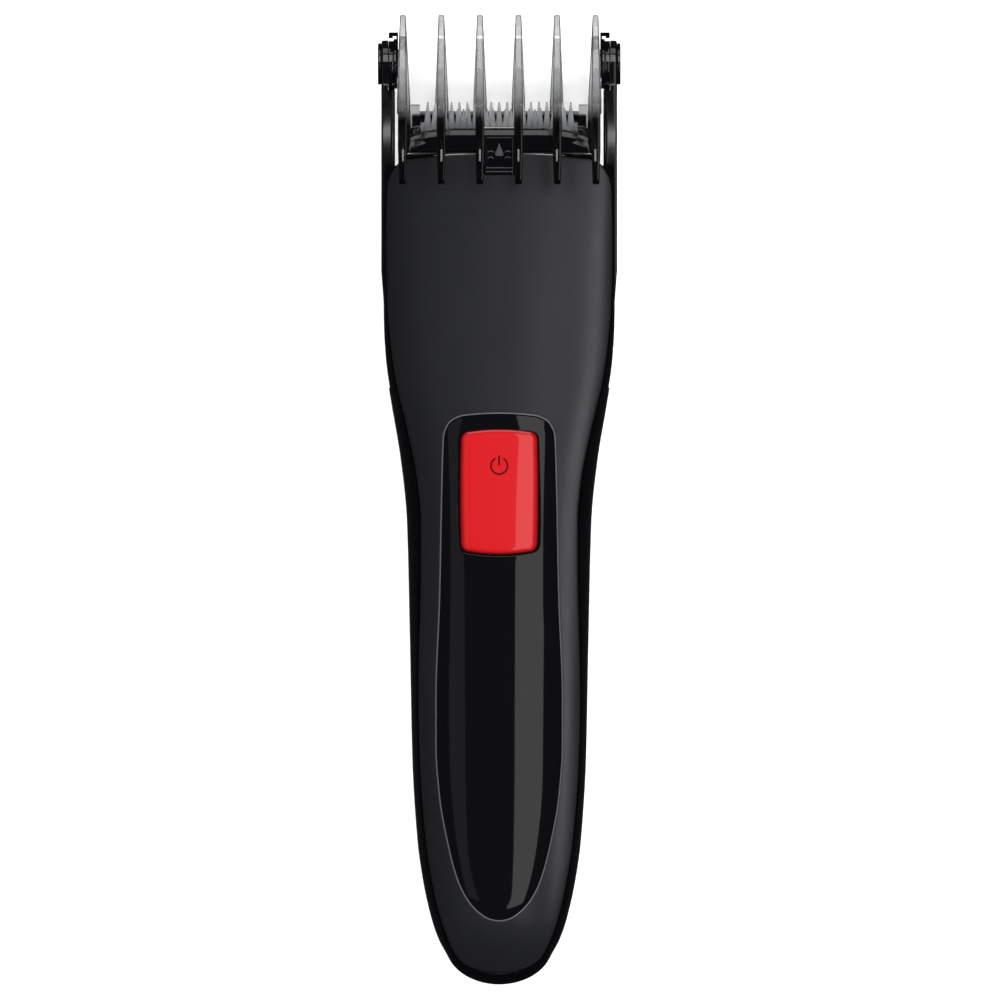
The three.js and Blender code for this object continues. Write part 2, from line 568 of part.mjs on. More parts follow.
// A comb-like plate: teeth with pointed tips at a pitch, on a plain strip. It may have wide end teeth.
function toothedPlate({ half, bottom, tip, pitch, teeth, tooth, end = 0 }) {
  const root = tip - tooth;
  const edge = end ? tip - END_TOOTH_DROP : root;
  const points = [[half, bottom], [half, edge]];
  if (end) points.push([half - end, edge], [half - end, root]);
  const wide = pitch * TOOTH_ROOT;
  const narrow = wide * TOOTH_TIP;
  for (let i = teeth - 1; i >= 0; i--) {
    const x = (i - (teeth - 1) / 2) * pitch;
    points.push([x + wide, root], [x + narrow, tip], [x - narrow, tip], [x - wide, root]);
  }
  if (end) points.push([-half + end, root], [-half + end, edge]);
  points.push([-half, edge], [-half, bottom]);
  return points.reverse();
}

function guardBlade() {
  const plan = toothedPlate({ ...GUARD, bottom: -GUARD.length, tip: 0 });
  return leant(prismZ(plan, 0, GUARD.thick));
}

function cutterBlade() {
  return leant(prismZ(toothedPlate(CUTTER), CUTTER.back, CUTTER.front));
}

const TIP_PLAY = 0.35; // clearance round the lever's tip
const CARRIER = { half: 4.6, y: [-7.4, -4.6], z: [CUTTER.front + GAP, 4.5] };

function cutterCarrier() {
  const block = leant(box([-CARRIER.half, CARRIER.half], CARRIER.y, CARRIER.z));
  const slotX = TIP_R + TIP_PLAY;
  const slotZ = [LEVER_Z[0] - 3, LEVER_Z[1] + TIP_PLAY];
  const slot = box([-slotX, slotX], [LEVER_PIVOT_Y, TIP_Y_LEVER + slotX], slotZ);
  return cut(block, slot);
}

const SPRING = { half: 14, thick: 0.35, bar: 0.8, finger: 1.6, reach: 3.5 };

function bladeSpring() {
  const z = [CUTTER.front + GAP, CUTTER.front + GAP + SPRING.thick];
  const low = CUTTER.bottom + 0.1;
  const bar = box([-SPRING.half, SPRING.half], [low, low + SPRING.bar], z);
  const finger = box([SPRING.half - SPRING.finger, SPRING.half], [low, low + SPRING.reach], z);
  return leant(join(bar, finger, finger.mirror([1, 0, 0])));
}

const HEAD_FRONT = { y: 74.4, z: 23 }; // upper edge and inner face of the head's front wall
const HEAD_SLIT = 0.05; // clearance over the front wall's edge
const CHEEK = { inner: 15.7, outer: 17.4, y: 77.2, under: 1.1 };
const GUARD_ROOM_HALF = 18;
const HINGE = { y: HEAD_Y + 1.6, z: 13.2, r: 1, half: 18.2 };

function headHousing() {
  const behind = guardBackZ(CHEEK.y) - CHEEK.under;
  const side = [
    [HEAD_Y, 10.7], [75, 15.3], [CHEEK.y, behind], [CHEEK.y, 20.9], [HEAD_FRONT.y, 23.6],
    [73.9, 24.7], [72.9, 25.5], [71.4, 26], [HEAD_Y, 26.3],
  ];
  const block = prismX(side, -HEAD_HALF, HEAD_HALF);
  const floorY = HEAD_Y + 1;
  const aboveY = GUARD_TIP[0] + 10;
  const slitY = HEAD_FRONT.y + HEAD_SLIT;
  const line = (y, lift) => [y, guardBackZ(y) + lift / Math.cos(BLADE_TILT)];
  const guardRoom = prismX(
    [line(floorY, -GAP), line(aboveY, -GAP), line(aboveY, CUTTER.back), line(floorY, CUTTER.back)],
    -GUARD_ROOM_HALF,
    GUARD_ROOM_HALF,
  );
  const cutterRoom = prismX(
    [
      line(floorY, GUARD.thick + 0.1),
      line(aboveY, GUARD.thick + 0.1),
      [aboveY, FAR_UP],
      [slitY, FAR_UP],
      [slitY, HEAD_FRONT.z],
      [floorY, HEAD_FRONT.z],
    ],
    -CHEEK.inner,
    CHEEK.inner,
  );
  const corner = box([CHEEK.outer, BIG], [slitY, BIG], [BELOW, FAR_UP]);
  const slotX = TIP_R + CRANK + 1.2;
  const slotZ = [LEVER_Z[0] - 0.8, LEVER_Z[1] + 0.8];
  const neckSlot = box([-slotX, slotX], [HEAD_Y - 1, floorY + 1], slotZ);
  const tongue = common(
    cut(bodyShape(TAB.inset), bodyShape(TAB.inset + TAB.thick)),
    box([-TAB.half, TAB.half], [TAB.bottom, HEAD_Y + 1], [SPLIT_Z, FAR_UP]),
  );
  const bearing = rod(HINGE.r + GAP, [-BIG, HINGE.y, HINGE.z], [BIG, HINGE.y, HINGE.z], 16);
  return cut(join(block, tongue), guardRoom, cutterRoom, corner, corner.mirror([1, 0, 0]), neckSlot, bearing);
}

// ---- Comb ---------------------------------------------------------------------------------------
// Side view of a rib, as [y, z]: from the tip down the front leg, round its end, up the inside of the
// leg, and down and up the back leg.
const RIB_SIDE = [
  [TIP_Y, 22.6], [96.2, 23.9], [91.5, 27.6], [86, 30.6], [80, 32.9], [74, 34.1], [69, 34.2], [65.2, 33.7],
  [63.5, 33.2], [62.9, 32.4], [63.3, 31.7], [64.4, 31.3], [70, 31.6], [76, 31], [82, 29.4], [87, 26.8],
  [91, 24], [92.4, 21], [91.4, 18], [87.6, 13.8], [82.6, 8.2], [78.2, 3.8], [78.2, 0.8], [80.4, 0.8],
  [84, 4.6], [89, 10.4], [93, 16], [96.3, 20.9], [96.9, 21.8],
];
const CROSSBAR = { half: 20, y: [74.9, 78.4], z: [0.8, 3.6] };

// A rib is thinner at its tip than at its legs: half-widths at both, and where it starts to narrow.
const RIB_HALF = { tip: 0.6, leg: 0.9, taperY: 80 };

function rib(x) {
  const startY = RIB_HALF.taperY - 25;
  const endY = TIP_Y + 1;
  const plan = [
    [x - RIB_HALF.leg, startY],
    [x + RIB_HALF.leg, startY],
    [x + RIB_HALF.leg, RIB_HALF.taperY],
    [x + RIB_HALF.tip, endY],
    [x - RIB_HALF.tip, endY],
    [x - RIB_HALF.leg, RIB_HALF.taperY],
  ];
  return common(prismX(RIB_SIDE, x - 1.5, x + 1.5), prismZ(plan, BELOW, FAR_UP));
}

const HUB = { inner: 20.7, flange: 21.1, outer: 22, r: 4.6, flangeR: 5, journal: 1.7, boss: 2.9 };
const WEB_SIDE = [[91, 24], [86, 17], [85, 11.2], [88, 13], [91.6, 18.5], [92.6, 22]];

function combHead() {
  const ribs = RIB_X.flatMap((x) => [rib(x), rib(-x)]);
  const bar = box([-CROSSBAR.half, CROSSBAR.half], CROSSBAR.y, CROSSBAR.z);
  const inside = HEAD_HALF + GAP;
  const web = prismX(WEB_SIDE, inside, RIB_X[2] + RIB_HALF.leg);
  const pivot = rod(HUB.boss, [inside, PIVOT_Y, MID_Z], [HUB.inner - GAP, PIVOT_Y, MID_Z], 20);
  const boss = join(web, pivot);
  return join(bar, ...ribs, boss, boss.mirror([1, 0, 0]));
}

function combHinge() {
  const at = (x) => [x, PIVOT_Y, MID_Z];
  return join(
    rod(HUB.flangeR, at(HUB.inner), at(HUB.flange), 28),
    rod(HUB.r, at(HUB.flange - 0.1), at(HUB.outer), 28),
    rod(HUB.journal, at(HUB.outer - 0.5), at(ARM.outer), 16),
  );
}

const CAP = { inner: 23.9, outer: 24.3, r: 4.15 };

// A flat spring that lies along the outer rib and hooks over the arm's end.
const HOOK = { inner: 20.22, outer: 22.1, y: [84.5, 93.6], z: [18.2, 20.8], thick: 0.35, bar: 0.7, lip: 0.8 };

function combSpring() {
  const top = HOOK.y[1];
  return join(
    box([HOOK.inner, HOOK.inner + HOOK.thick], HOOK.y, HOOK.z),
    box([HOOK.inner, HOOK.outer], [top - HOOK.bar, top], HOOK.z),
    box([HOOK.outer - HOOK.lip, HOOK.outer], [top - HOOK.bar - 0.4, top], HOOK.z),
  );
}

const BOSS_STEPS = 8;
const ARM_TIP = { x: 22.4, y: 46 }; // the arm's lower end narrows from here

function combArm() {
  const boss = ARM.boss;
  const side = [
    [ARM.bottom, MID_Z - ARM.half + 1],
    [ARM.bottom, MID_Z + ARM.half - 1],
    [ARM.bottom + 1, MID_Z + ARM.half],
    [ARM.wideY[0], MID_Z + ARM.half],
    [ARM.wideY[1], MID_Z + boss],
    [PIVOT_Y, MID_Z + boss],
  ];
  for (let k = 1; k < BOSS_STEPS; k++) {
    const angle = Math.PI / 2 - (Math.PI * k) / BOSS_STEPS;
    side.push([PIVOT_Y + boss * Math.cos(angle), MID_Z + boss * Math.sin(angle)]);
  }
  side.push([PIVOT_Y, MID_Z - boss], [ARM.wideY[1], MID_Z - boss], [ARM.wideY[0], MID_Z - ARM.half]);
  side.push([ARM.bottom + 1, MID_Z - ARM.half]);
  const bar = prismX(side, ARM.inner, ARM.outer);
  const relief = box([0, HUB.outer + GAP], [ARM.relief, BIG], [BELOW, FAR_UP]);
  const bore = rod(HUB.journal + GAP, [HUB.inner, PIVOT_Y, MID_Z], [ARM.outer + 1, PIVOT_Y, MID_Z], 20);
  const beyond = ARM.bottom - 6;
  const tipIn = prismZ(
    [[ARM_TIP.x, beyond], [ARM.outer + 1, beyond], [ARM.outer + 1, ARM_TIP.y], [ARM.outer, ARM_TIP.y]],
    BELOW,
    FAR_UP,
  );
  const notches = [];
  for (let y = ARM.bottom + NOTCH.from; y < NOTCH.to; y += NOTCH.pitch) {
    const notchY = [y - NOTCH.half, y + NOTCH.half];
    const notchZ = [MID_Z - NOTCH.halfZ, MID_Z + NOTCH.halfZ];
    notches.push(box([ARM.inner - 1, ARM.inner + NOTCH.deep], notchY, notchZ));
  }
  return cut(bar, relief, bore, tipIn, ...notches);
}

// ---- Length selector on the back ----------------------------------------------------------------
function lengthSelector() {
  const low = SELECTOR_Y - SELECTOR.long;
  const high = SELECTOR_Y + SELECTOR.long;
  const brim = SELECTOR.brim;
  const stem = box([-SELECTOR.half, SELECTOR.half], [low, high], SELECTOR.stem);
  const flangeX = [-SELECTOR.half - brim, SELECTOR.half + brim];
  const flange = box(flangeX, [low - brim, high + brim], SELECTOR.flange);
  const edge = prismX([[low - 6, -1], [low + 2, -1], [low + 0.6, 3], [low - 6, 5]], -BIG, BIG);
  return join(cut(stem, edge), flange);
}

// ---- Assembly -----------------------------------------------------------------------------------
add("rear_cover", rearCover(), GLOSS_BLACK);
add("front_cover", frontCover(), MATTE_BLACK);
add("inlay_panel", inlayPanel(), GLOSS_BLACK);
add("power_button", powerButton(), RED);
electronics();
add("motor_lead_left", motorLead(1), WIRE_RED);
add("motor_lead_right", motorLead(-1), WIRE_BLACK);
drive();
add("drive_lever", driveLever(), NYLON);
add("lever_seal", leverSeal(), RUBBER);
add("head_housing", headHousing(), GLOSS_BLACK);
const hingeEnds = [-HINGE.half, HINGE.half].map((x) => [x, HINGE.y, HINGE.z]);
add("head_hinge_pin", rod(HINGE.r, ...hingeEnds, 12), STEEL);
add("guard_blade", guardBlade(), STEEL);
add("cutter_blade", cutterBlade(), STEEL);
add("cutter_carrier", cutterCarrier(), NYLON);
add("blade_spring", bladeSpring(), STEEL);
add("comb_head", combHead(), SMOKE);
addPair("comb_hinge", combHinge(), GLOSS_BLACK);
addPair("pivot_cap", rod(CAP.r, [CAP.inner, PIVOT_Y, MID_Z], [CAP.outer, PIVOT_Y, MID_Z], 28), GLOSS_BLACK);
addPair("comb_spring", combSpring(), GLOSS_BLACK);
addPair("arm", combArm(), GLOSS_BLACK);
add("length_selector", lengthSelector(), GLOSS_BLACK);

export default group;
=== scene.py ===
"""A cordless hair clipper on a pale floor: fine shells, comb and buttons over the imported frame."""
import json
import math

import bmesh
import bpy
import numpy as np
from mathutils import Matrix, Vector


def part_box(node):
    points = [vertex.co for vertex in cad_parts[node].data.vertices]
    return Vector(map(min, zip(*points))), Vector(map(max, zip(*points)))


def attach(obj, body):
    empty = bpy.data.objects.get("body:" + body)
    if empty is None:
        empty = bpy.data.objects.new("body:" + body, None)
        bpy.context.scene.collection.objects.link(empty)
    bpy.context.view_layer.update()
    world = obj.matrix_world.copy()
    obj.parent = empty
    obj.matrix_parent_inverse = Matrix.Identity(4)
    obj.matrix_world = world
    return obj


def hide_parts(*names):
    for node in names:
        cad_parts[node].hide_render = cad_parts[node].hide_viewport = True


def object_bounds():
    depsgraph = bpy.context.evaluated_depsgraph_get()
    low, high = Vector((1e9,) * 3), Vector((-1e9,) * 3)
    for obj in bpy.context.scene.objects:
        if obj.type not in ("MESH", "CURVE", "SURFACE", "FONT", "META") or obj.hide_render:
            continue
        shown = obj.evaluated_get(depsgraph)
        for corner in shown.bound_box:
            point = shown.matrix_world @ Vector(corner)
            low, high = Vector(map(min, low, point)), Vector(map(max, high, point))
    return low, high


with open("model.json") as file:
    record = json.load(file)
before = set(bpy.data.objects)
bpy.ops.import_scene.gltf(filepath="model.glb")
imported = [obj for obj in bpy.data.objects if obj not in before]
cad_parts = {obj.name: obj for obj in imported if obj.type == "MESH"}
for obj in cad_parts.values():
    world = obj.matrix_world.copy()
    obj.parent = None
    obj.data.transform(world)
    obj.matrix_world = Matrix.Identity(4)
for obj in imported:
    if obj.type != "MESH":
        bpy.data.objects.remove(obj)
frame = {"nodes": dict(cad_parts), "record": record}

CAD_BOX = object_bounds()
MM = 0.001
NODES = frame["nodes"]


def box_mm(node):
    """Lowest and highest corner of a CAD node, in mm."""
    low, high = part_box(node)
    return [c / MM for c in low], [c / MM for c in high]


# ---- Sizes of the body, in mm ---------------------------------------------------------------------
MID_Z = 15
PIVOT_Y = 87.5
FAR_X, FAR_Y, FAR_Z = 50, 90, 60  # beyond the body, where a cut may end
SAME_POINT = 0.002
TAIL_Y = CAD_BOX[0][1] / MM
WALL = 2
FLOOR_WALL = 1.2
CAVITY_HALF = 18.6
SPLIT_Z = 20.6
GAP = 0.22
HALF_WIDTH = [(-97, 9.2), (-92, 10.1), (-88, 12.1), (-84, 13.5), (-76, 15.3), (-68, 16.4), (-52, 17.4),
              (-28, 17.9), (-4, 18.5), (8, 19.7), (20, 21.7), (28, 22.9), (36, 23.4), (48, 23.6), (72, 23.6)]
FRONT_Z = [(-97, 22), (-88, 27), (-70, 30), (-40, 31.5), (-10, 32), (15, 31.5), (40, 30.5), (55, 29),
           (72, 26.2)]
BACK_Z = [(-97, 6), (-88, 2), (-70, -0.6), (-40, -0.8), (0, -0.8), (30, -0.5), (40, 1.2), (50, 3.4),
          (62, 6.8), (72, 11.3)]
TAIL_ROUND_X, TAIL_ROUND_Z = 6, 14
FRONT_POWER, BACK_POWER = 2.4, 2.8
COVER_HALF = [(-95.2, 0), (-94.2, 4.6), (-91, 8.6), (-84, 11.6), (-76, 13.5), (-68, 14.7), (-52, 15.9),
              (-40, 16.2), (-12, 15.7), (-4, 15.7), (4, 16.4), (12, 17.9), (20, 19.8), (24, 20.7), (32, 21.8),
              (40, 22.4),
              (62, 22.8), (64.5, 22), (66.4, 21), (67.7, 19.7), (68.3, 17.8), (69.2, 0)]
INLAY_HALF = [(-83.8, 0), (-83, 2.9), (-79, 6.7), (-75, 8.5), (-69, 10.1), (-59, 11.9), (-49, 12.6),
              (-39, 12.6), (-20, 11.9), (4, 11.4), (12.8, 11.1), (15.3, 10.1), (16.9, 7.5), (17.4, 0)]
BUTTON_HALF, BUTTON_LOW, BUTTON_TOP, BUTTON_CORNER = 7.95, -10.8, 14.4, 1.8
BUTTON_BULGE, BUTTON_BOW = 0.5, 0.03
BUTTON_PROUD, BUTTON_SKIRT = 0.35, 1.6
BUTTON_ROLL = 1.6  # less than the corner, so that the rolled edge doesn't fold
BUTTON_FALL = 0.62 * BUTTON_ROLL
TAB_HALF, TAB_LOW = 3, 65
TAB_EDGE, TAB_SUNK = 0.35, 0.2


# ---- Curves and outlines --------------------------------------------------------------------------
def through(pairs):
    """A smooth curve through (y, value) pairs that doesn't overshoot between them: a monotone cubic."""
    ys = np.array([p[0] for p in pairs], float)
    vs = np.array([p[1] for p in pairs], float)
    slope = np.diff(vs) / np.diff(ys)
    before = np.concatenate([[slope[0]], slope])
    after = np.concatenate([slope, [slope[-1]]])
    total = np.where(np.abs(before + after) < 1e-12, 1, before + after)
    tangent = np.where(before * after <= 0, 0, 2 * before * after / total)

    def value(y):
        y = np.asarray(y, float)
        i = np.clip(np.searchsorted(ys, y, side="right") - 1, 0, len(ys) - 2)
        h = ys[i + 1] - ys[i]
        t = (y - ys[i]) / h
        rise = vs[i] * (1 + 2 * t) * (1 - t) ** 2 + vs[i + 1] * t * t * (3 - 2 * t)
        return rise + h * (tangent[i] * t * (1 - t) ** 2 - tangent[i + 1] * t * t * (1 - t))

    return value


half_width, front_z, back_z = through(HALF_WIDTH), through(FRONT_Z), through(BACK_Z)


def round_off(t, length):
    return np.sqrt(np.clip(1 - (1 - np.clip(t / length, 0, 1)) ** 2, 0, 1))


def section(y, inset=0.0):
    """Half-width, front height and back depth of the body at y, drawn in by inset."""
    t = y - TAIL_Y - inset
    x, z = round_off(t, TAIL_ROUND_X), round_off(t, TAIL_ROUND_Z)
    return ((half_width(y) - inset) * x, (front_z(y) - MID_Z - inset) * z, (MID_Z - back_z(y) - inset) * z)


def surface_z(x, y, inset=0.0):
    """Height of the body's front surface over a point."""
    half, front, _ = section(y, inset)
    part = np.clip(np.abs(x) / np.maximum(half, 1e-6), 0, 0.9995)
    return MID_Z + front * (1 - part ** FRONT_POWER) ** (1 / FRONT_POWER)


def even(points, count):
    """A closed outline sampled again at even steps along its length."""
    p = np.array(points, float)
    closed = np.vstack([p, p[:1]])
    run = np.concatenate([[0], np.cumsum(np.linalg.norm(np.diff(closed, axis=0), axis=1))])
    at = np.linspace(0, run[-1], count, endpoint=False)
    return np.stack([np.interp(at, run, closed[:, k]) for k in range(2)], axis=1)


def mirrored(table, steps=14):
    """A dense closed outline, the same on both sides of x = 0, from the bottom up the right and round."""
    half = through(table)
    low, high = table[0][0], table[-1][0]
    swing = 0.5 - 0.5 * np.cos(np.linspace(0, math.pi, steps * len(table)))
    y = low + (high - low) * swing
    first, second = table[1], table[-2]
    x = half(y)
    foot = y < first[0]
    x[foot] = first[1] * np.sqrt(np.clip((y[foot] - low) / (first[0] - low), 0, 1))
    head = y > second[0]
    x[head] = second[1] * np.sqrt(np.clip((high - y[head]) / (high - second[0]), 0, 1))
    right = np.stack([x, y], axis=1)
    left = right[1:-1][::-1] * (-1, 1)
    return np.vstack([right, left])


def shifted(outline, distance):
    """A closed outline moved outwards by a distance along its normals (inwards if it is negative)."""
    ahead = np.roll(outline, -1, axis=0) - np.roll(outline, 1, axis=0)
    normal = np.stack([ahead[:, 1], -ahead[:, 0]], axis=1)
    normal /= np.maximum(np.linalg.norm(normal, axis=1, keepdims=True), 1e-9)
    return outline + normal * distance


def button_outline(grow=0.0):
    """Barrel-shaped outline with round corners and bowed sides, from the bottom middle up the right."""
    half, r = BUTTON_HALF + grow, BUTTON_CORNER + grow
    low, top = BUTTON_LOW - grow, BUTTON_TOP + grow
    across = np.linspace(0, half - r, 20, endpoint=False)
    bow = BUTTON_BULGE * (1 - (across / (half - r)) ** 2)
    right = [(x, low + BUTTON_BULGE - b) for x, b in zip(across, bow)]
    for y, quarter in ((low + r + BUTTON_BULGE, 3), (top - r - BUTTON_BULGE, 0)):
        for k in range(13):
            angle = math.pi / 2 * (quarter + k / 12)
            right.append((half - r + r * math.cos(angle), y + r * math.sin(angle)))
        if quarter == 3:
            right += [(half, y) for y in np.linspace(low + r + 2, top - r - 2, 20)]
    right += [(x, top - BUTTON_BULGE + b) for x, b in zip(across[::-1], bow[::-1])]
    middle, reach = (low + top) / 2, (top - low) / 2
    right = [(x * (1 - BUTTON_BOW * ((y - middle) / reach) ** 2), y) for x, y in right]
    return even(right + [(-x, y) for x, y in right[-2:0:-1]], 720)


# ---- Mesh helpers ---------------------------------------------------------------------------------
def mesh_object(name, points_mm, faces):
    """A smooth-shaded mesh with doubled points merged and its faces turned outwards."""
    mesh = bpy.data.meshes.new(name)
    mesh.from_pydata([tuple(float(c) * MM for c in p) for p in points_mm], [], faces)
    mesh.update()
    obj = bpy.data.objects.new(name, mesh)
    bpy.context.scene.collection.objects.link(obj)
    tidy = bmesh.new()
    tidy.from_mesh(mesh)
    bmesh.ops.remove_doubles(tidy, verts=tidy.verts, dist=SAME_POINT * MM)
    bmesh.ops.recalc_face_normals(tidy, faces=tidy.faces)
    tidy.to_mesh(mesh)
    tidy.free()
    for polygon in mesh.polygons:
        polygon.use_smooth = True
    return obj


def soft_edges(obj, degrees=35):
    """Smooth shading with an edge kept sharp where it turns by more than some degrees."""
    for polygon in obj.data.polygons:
        polygon.use_smooth = True
    obj.data.set_sharp_from_angle(angle=math.radians(degrees))
    return obj


def ring_faces(count, rings, closed=False):
    """Quads between neighbouring rings of count points, and from the last to the first if closed."""
    faces = []
    for i in range(rings if closed else rings - 1):
        j = (i + 1) % rings
        for k in range(count):
            n = (k + 1) % count
            faces.append((i * count + k, i * count + n, j * count + n, j * count + k))
    return faces


def rings_object(name, rings):
    """A skin over rings that have the same number of points, closed by a fan at either end."""
    count = len(rings[0])
    points = [tuple(p) for ring in rings for p in ring]
    faces = ring_faces(count, len(rings))
    for at in (0, len(rings) - 1):
        points.append(tuple(np.mean(np.array(rings[at]), axis=0)))
        hub = len(points) - 1
        faces += [(hub, at * count + k, at * count + (k + 1) % count) for k in range(count)]
    return mesh_object(name, points, faces)


def plate_object(name, rings):
    """A skin over rings that have the same number of points, closed by one flat face at either end."""
    count = len(rings[0])
    points = [q for ring in rings for q in ring]
    faces = [tuple(range(count)), tuple(range((len(rings) - 1) * count, len(rings) * count))]
    return mesh_object(name, points, faces + ring_faces(count, len(rings)))


def boolean(obj, other, operation):
    """Applies a boolean with another object, which is used up."""
    change = obj.modifiers.new("cut", "BOOLEAN")
    change.object = other
    change.operation = operation
    change.solver = "MANIFOLD"
    bake(obj)
    bpy.data.objects.remove(other)
    return obj


def bake(obj):
    """Applies an object's modifiers to its mesh."""
    graph = bpy.context.evaluated_depsgraph_get()
    fresh = bpy.data.meshes.new_from_object(obj.evaluated_get(graph))
    obj.modifiers.clear()
    obj.data = fresh


def slab(name, outline, low, high, axis="x", edge=0.3, steps=3):
    """An outline of (y, z) or (x, y) pairs extruded along x or z, with its rims rounded by edge."""
    p = np.array(outline, float)
    area = np.sum(p[:, 0] * np.roll(p[:, 1], -1) - np.roll(p[:, 0], -1) * p[:, 1])
    if area < 0:
        p = p[::-1]
    rings = []
    for at, side in ((low, 1), (high, -1)):
        turns = np.linspace(0, math.pi / 2, steps + 1)
        for turn in turns if side > 0 else turns[::-1]:
            inside = edge * (1 - math.sin(turn))
            along = at + side * edge * (1 - math.cos(turn))
            line = shifted(p, -inside)
            rings.append([(along, a, b) if axis == "x" else (a, b, along) for a, b in line])
    return soft_edges(plate_object(name, rings), 50)


def sharp(name, outline, low, high, axis="x"):
    """A slab with square rims."""
    return slab(name, outline, low, high, axis, 0.0, 1)


def block(x, y, z):
    """A plain cutter with square edges, from a (low, high) pair along each axis."""
    return sharp("cutter", [(y[0], z[0]), (y[1], z[0]), (y[1], z[1]), (y[0], z[1])], x[0], x[1])


def rounded(points, radius=0.5, steps=4):
    """A closed outline with each of its corners rounded by a curve that starts a radius away from it."""
    p = np.array(points, float)
    out = []
    for before, at, after in zip(np.roll(p, 1, axis=0), p, np.roll(p, -1, axis=0)):
        to_before, to_after = before - at, after - at
        r0 = min(radius, np.linalg.norm(to_before) * 0.49)
        r1 = min(radius, np.linalg.norm(to_after) * 0.49)
        a = at + to_before / np.linalg.norm(to_before) * r0
        b = at + to_after / np.linalg.norm(to_after) * r1
        for t in np.linspace(0, 1, steps + 1):
            out.append((1 - t) ** 2 * a + 2 * t * (1 - t) * at + t * t * b)
    return np.array(out)


def arc(y, z, radius, turns):
    """Points (y, z) round a centre at some angles."""
    return [(y + radius * math.cos(a), z + radius * math.sin(a)) for a in turns]


def disc(name, radius, x, y=PIVOT_Y, z=MID_Z, edge=0.15, sides=72):
    """A round plate across x, from its (low, high) pair, with rounded rims."""
    turns = np.linspace(0, 2 * math.pi, sides, endpoint=False)
    return slab(name, arc(y, z, radius, turns), x[0], x[1], "x", edge)


def both_sides(obj):
    """The object and its mirror image across x = 0."""
    copy = bpy.data.objects.new(obj.name.replace("_left", "_right"), obj.data.copy())
    copy.data.transform(Matrix.Scale(-1, 4, Vector((1, 0, 0))))
    copy.data.flip_normals()
    bpy.context.scene.collection.objects.link(copy)
    return obj, copy


# ---- Materials ------------------------------------------------------------------------------------
CLOUD_SIZE, GRAIN_DEPTH, GLOSS_VARY = 12, 0.02, 0.15


def material(name, base, rough, metallic=0.0, grain=0.0, grain_size=0.4, vary=0.06, streak=None, **sockets):
    """A procedural material: noise in its colour and roughness, and a fine bump of grain_size mm."""
    made = bpy.data.materials.new(name)
    made.use_nodes = True
    nodes, links = made.node_tree.nodes, made.node_tree.links
    shader = nodes["Principled BSDF"]
    place = nodes.new("ShaderNodeTexCoord")
    source = place.outputs["Object"]
    if streak:
        stretch = nodes.new("ShaderNodeMapping")
        stretch.inputs["Scale"].default_value = streak
        links.new(source, stretch.inputs["Vector"])
        source = stretch.outputs["Vector"]
    broad = nodes.new("ShaderNodeTexNoise")
    broad.inputs["Scale"].default_value = 1 / (CLOUD_SIZE * MM)
    broad.inputs["Detail"].default_value = 4
    links.new(source, broad.inputs["Vector"])
    fine = nodes.new("ShaderNodeTexNoise")
    fine.inputs["Scale"].default_value = 1 / (grain_size * MM)
    fine.inputs["Detail"].default_value = 3
    links.new(source, fine.inputs["Vector"])

    shade = nodes.new("ShaderNodeMix")
    shade.data_type = "RGBA"
    shade.inputs["A"].default_value = (*[c * (1 - vary) for c in base], 1)
    shade.inputs["B"].default_value = (*[min(1, c * (1 + vary)) for c in base], 1)
    links.new(broad.outputs["Fac"], shade.inputs["Factor"])
    links.new(shade.outputs["Result"], shader.inputs["Base Color"])

    gloss = nodes.new("ShaderNodeMapRange")
    gloss.inputs["To Min"].default_value = rough * (1 - GLOSS_VARY)
    gloss.inputs["To Max"].default_value = min(1, rough * (1 + GLOSS_VARY))
    links.new(broad.outputs["Fac"], gloss.inputs["Value"])
    links.new(gloss.outputs["Result"], shader.inputs["Roughness"])
    if grain:
        bump = nodes.new("ShaderNodeBump")
        bump.inputs["Strength"].default_value = grain
        bump.inputs["Distance"].default_value = GRAIN_DEPTH * MM
        links.new(fine.outputs["Fac"], bump.inputs["Height"])
        links.new(bump.outputs["Normal"], shader.inputs["Normal"])
    shader.inputs["Metallic"].default_value = metallic
    for socket, value in sockets.items():
        shader.inputs[socket.replace("_", " ").title().replace("Ior", "IOR")].default_value = value
    return made


MATTE_BLACK = material("matte_black_plastic", (0.0068, 0.0071, 0.0084), 0.43, grain=0.5, grain_size=0.22,
                       specular_ior_level=0.38)
GLOSS_BLACK = material("gloss_black_plastic", (0.0018, 0.0018, 0.0024), 0.05, grain=0.04, grain_size=3)
SHELL_BLACK = material("shell_black_plastic", (0.001, 0.001, 0.0014), 0.2, grain=0.1, grain_size=1.5,
                       specular_ior_level=0.12)
# Painted highlight: a light grey for the ring that stands for the bright line along the inlay's edge.
RIM_HIGHLIGHT_GREY = material("polished_rim", (0.06, 0.061, 0.065), 0.3, grain=0.1)
MARK_GREY = material("moulded_mark", (0.035, 0.036, 0.04), 0.35, grain=0.1)
SATIN_BLACK = material("satin_black_plastic", (0.006, 0.006, 0.0068), 0.2, grain=0.12, grain_size=1.2)
STEEL = material("ground_steel", (0.5, 0.51, 0.52), 0.24, 0.5, grain=0.35, grain_size=0.5, streak=(1, 12, 12))
DARK_STEEL = material("cutter_steel", (0.3, 0.31, 0.32), 0.3, 0.5, grain=0.35, grain_size=0.4,
                      streak=(12, 1, 1))
ZINC = material("zinc_plate", (0.5, 0.5, 0.5), 0.4, 1.0, grain=0.3)
BOARD = material("solder_mask", (0.01, 0.11, 0.04), 0.35, grain=0.4, grain_size=0.8, vary=0.15)
NYLON = material("natural_nylon", (0.7, 0.68, 0.6), 0.45, grain=0.3)
RUBBER = material("soft_rubber", (0.012, 0.012, 0.012), 0.8, grain=0.6)
CELL = material("cell_wrap", (0.03, 0.22, 0.09), 0.3, grain=0.2)
LEAD_RED = material("red_insulation", (0.5, 0.02, 0.02), 0.5, grain=0.2)
LEAD_BLACK = material("black_insulation", (0.01, 0.01, 0.012), 0.5, grain=0.2)


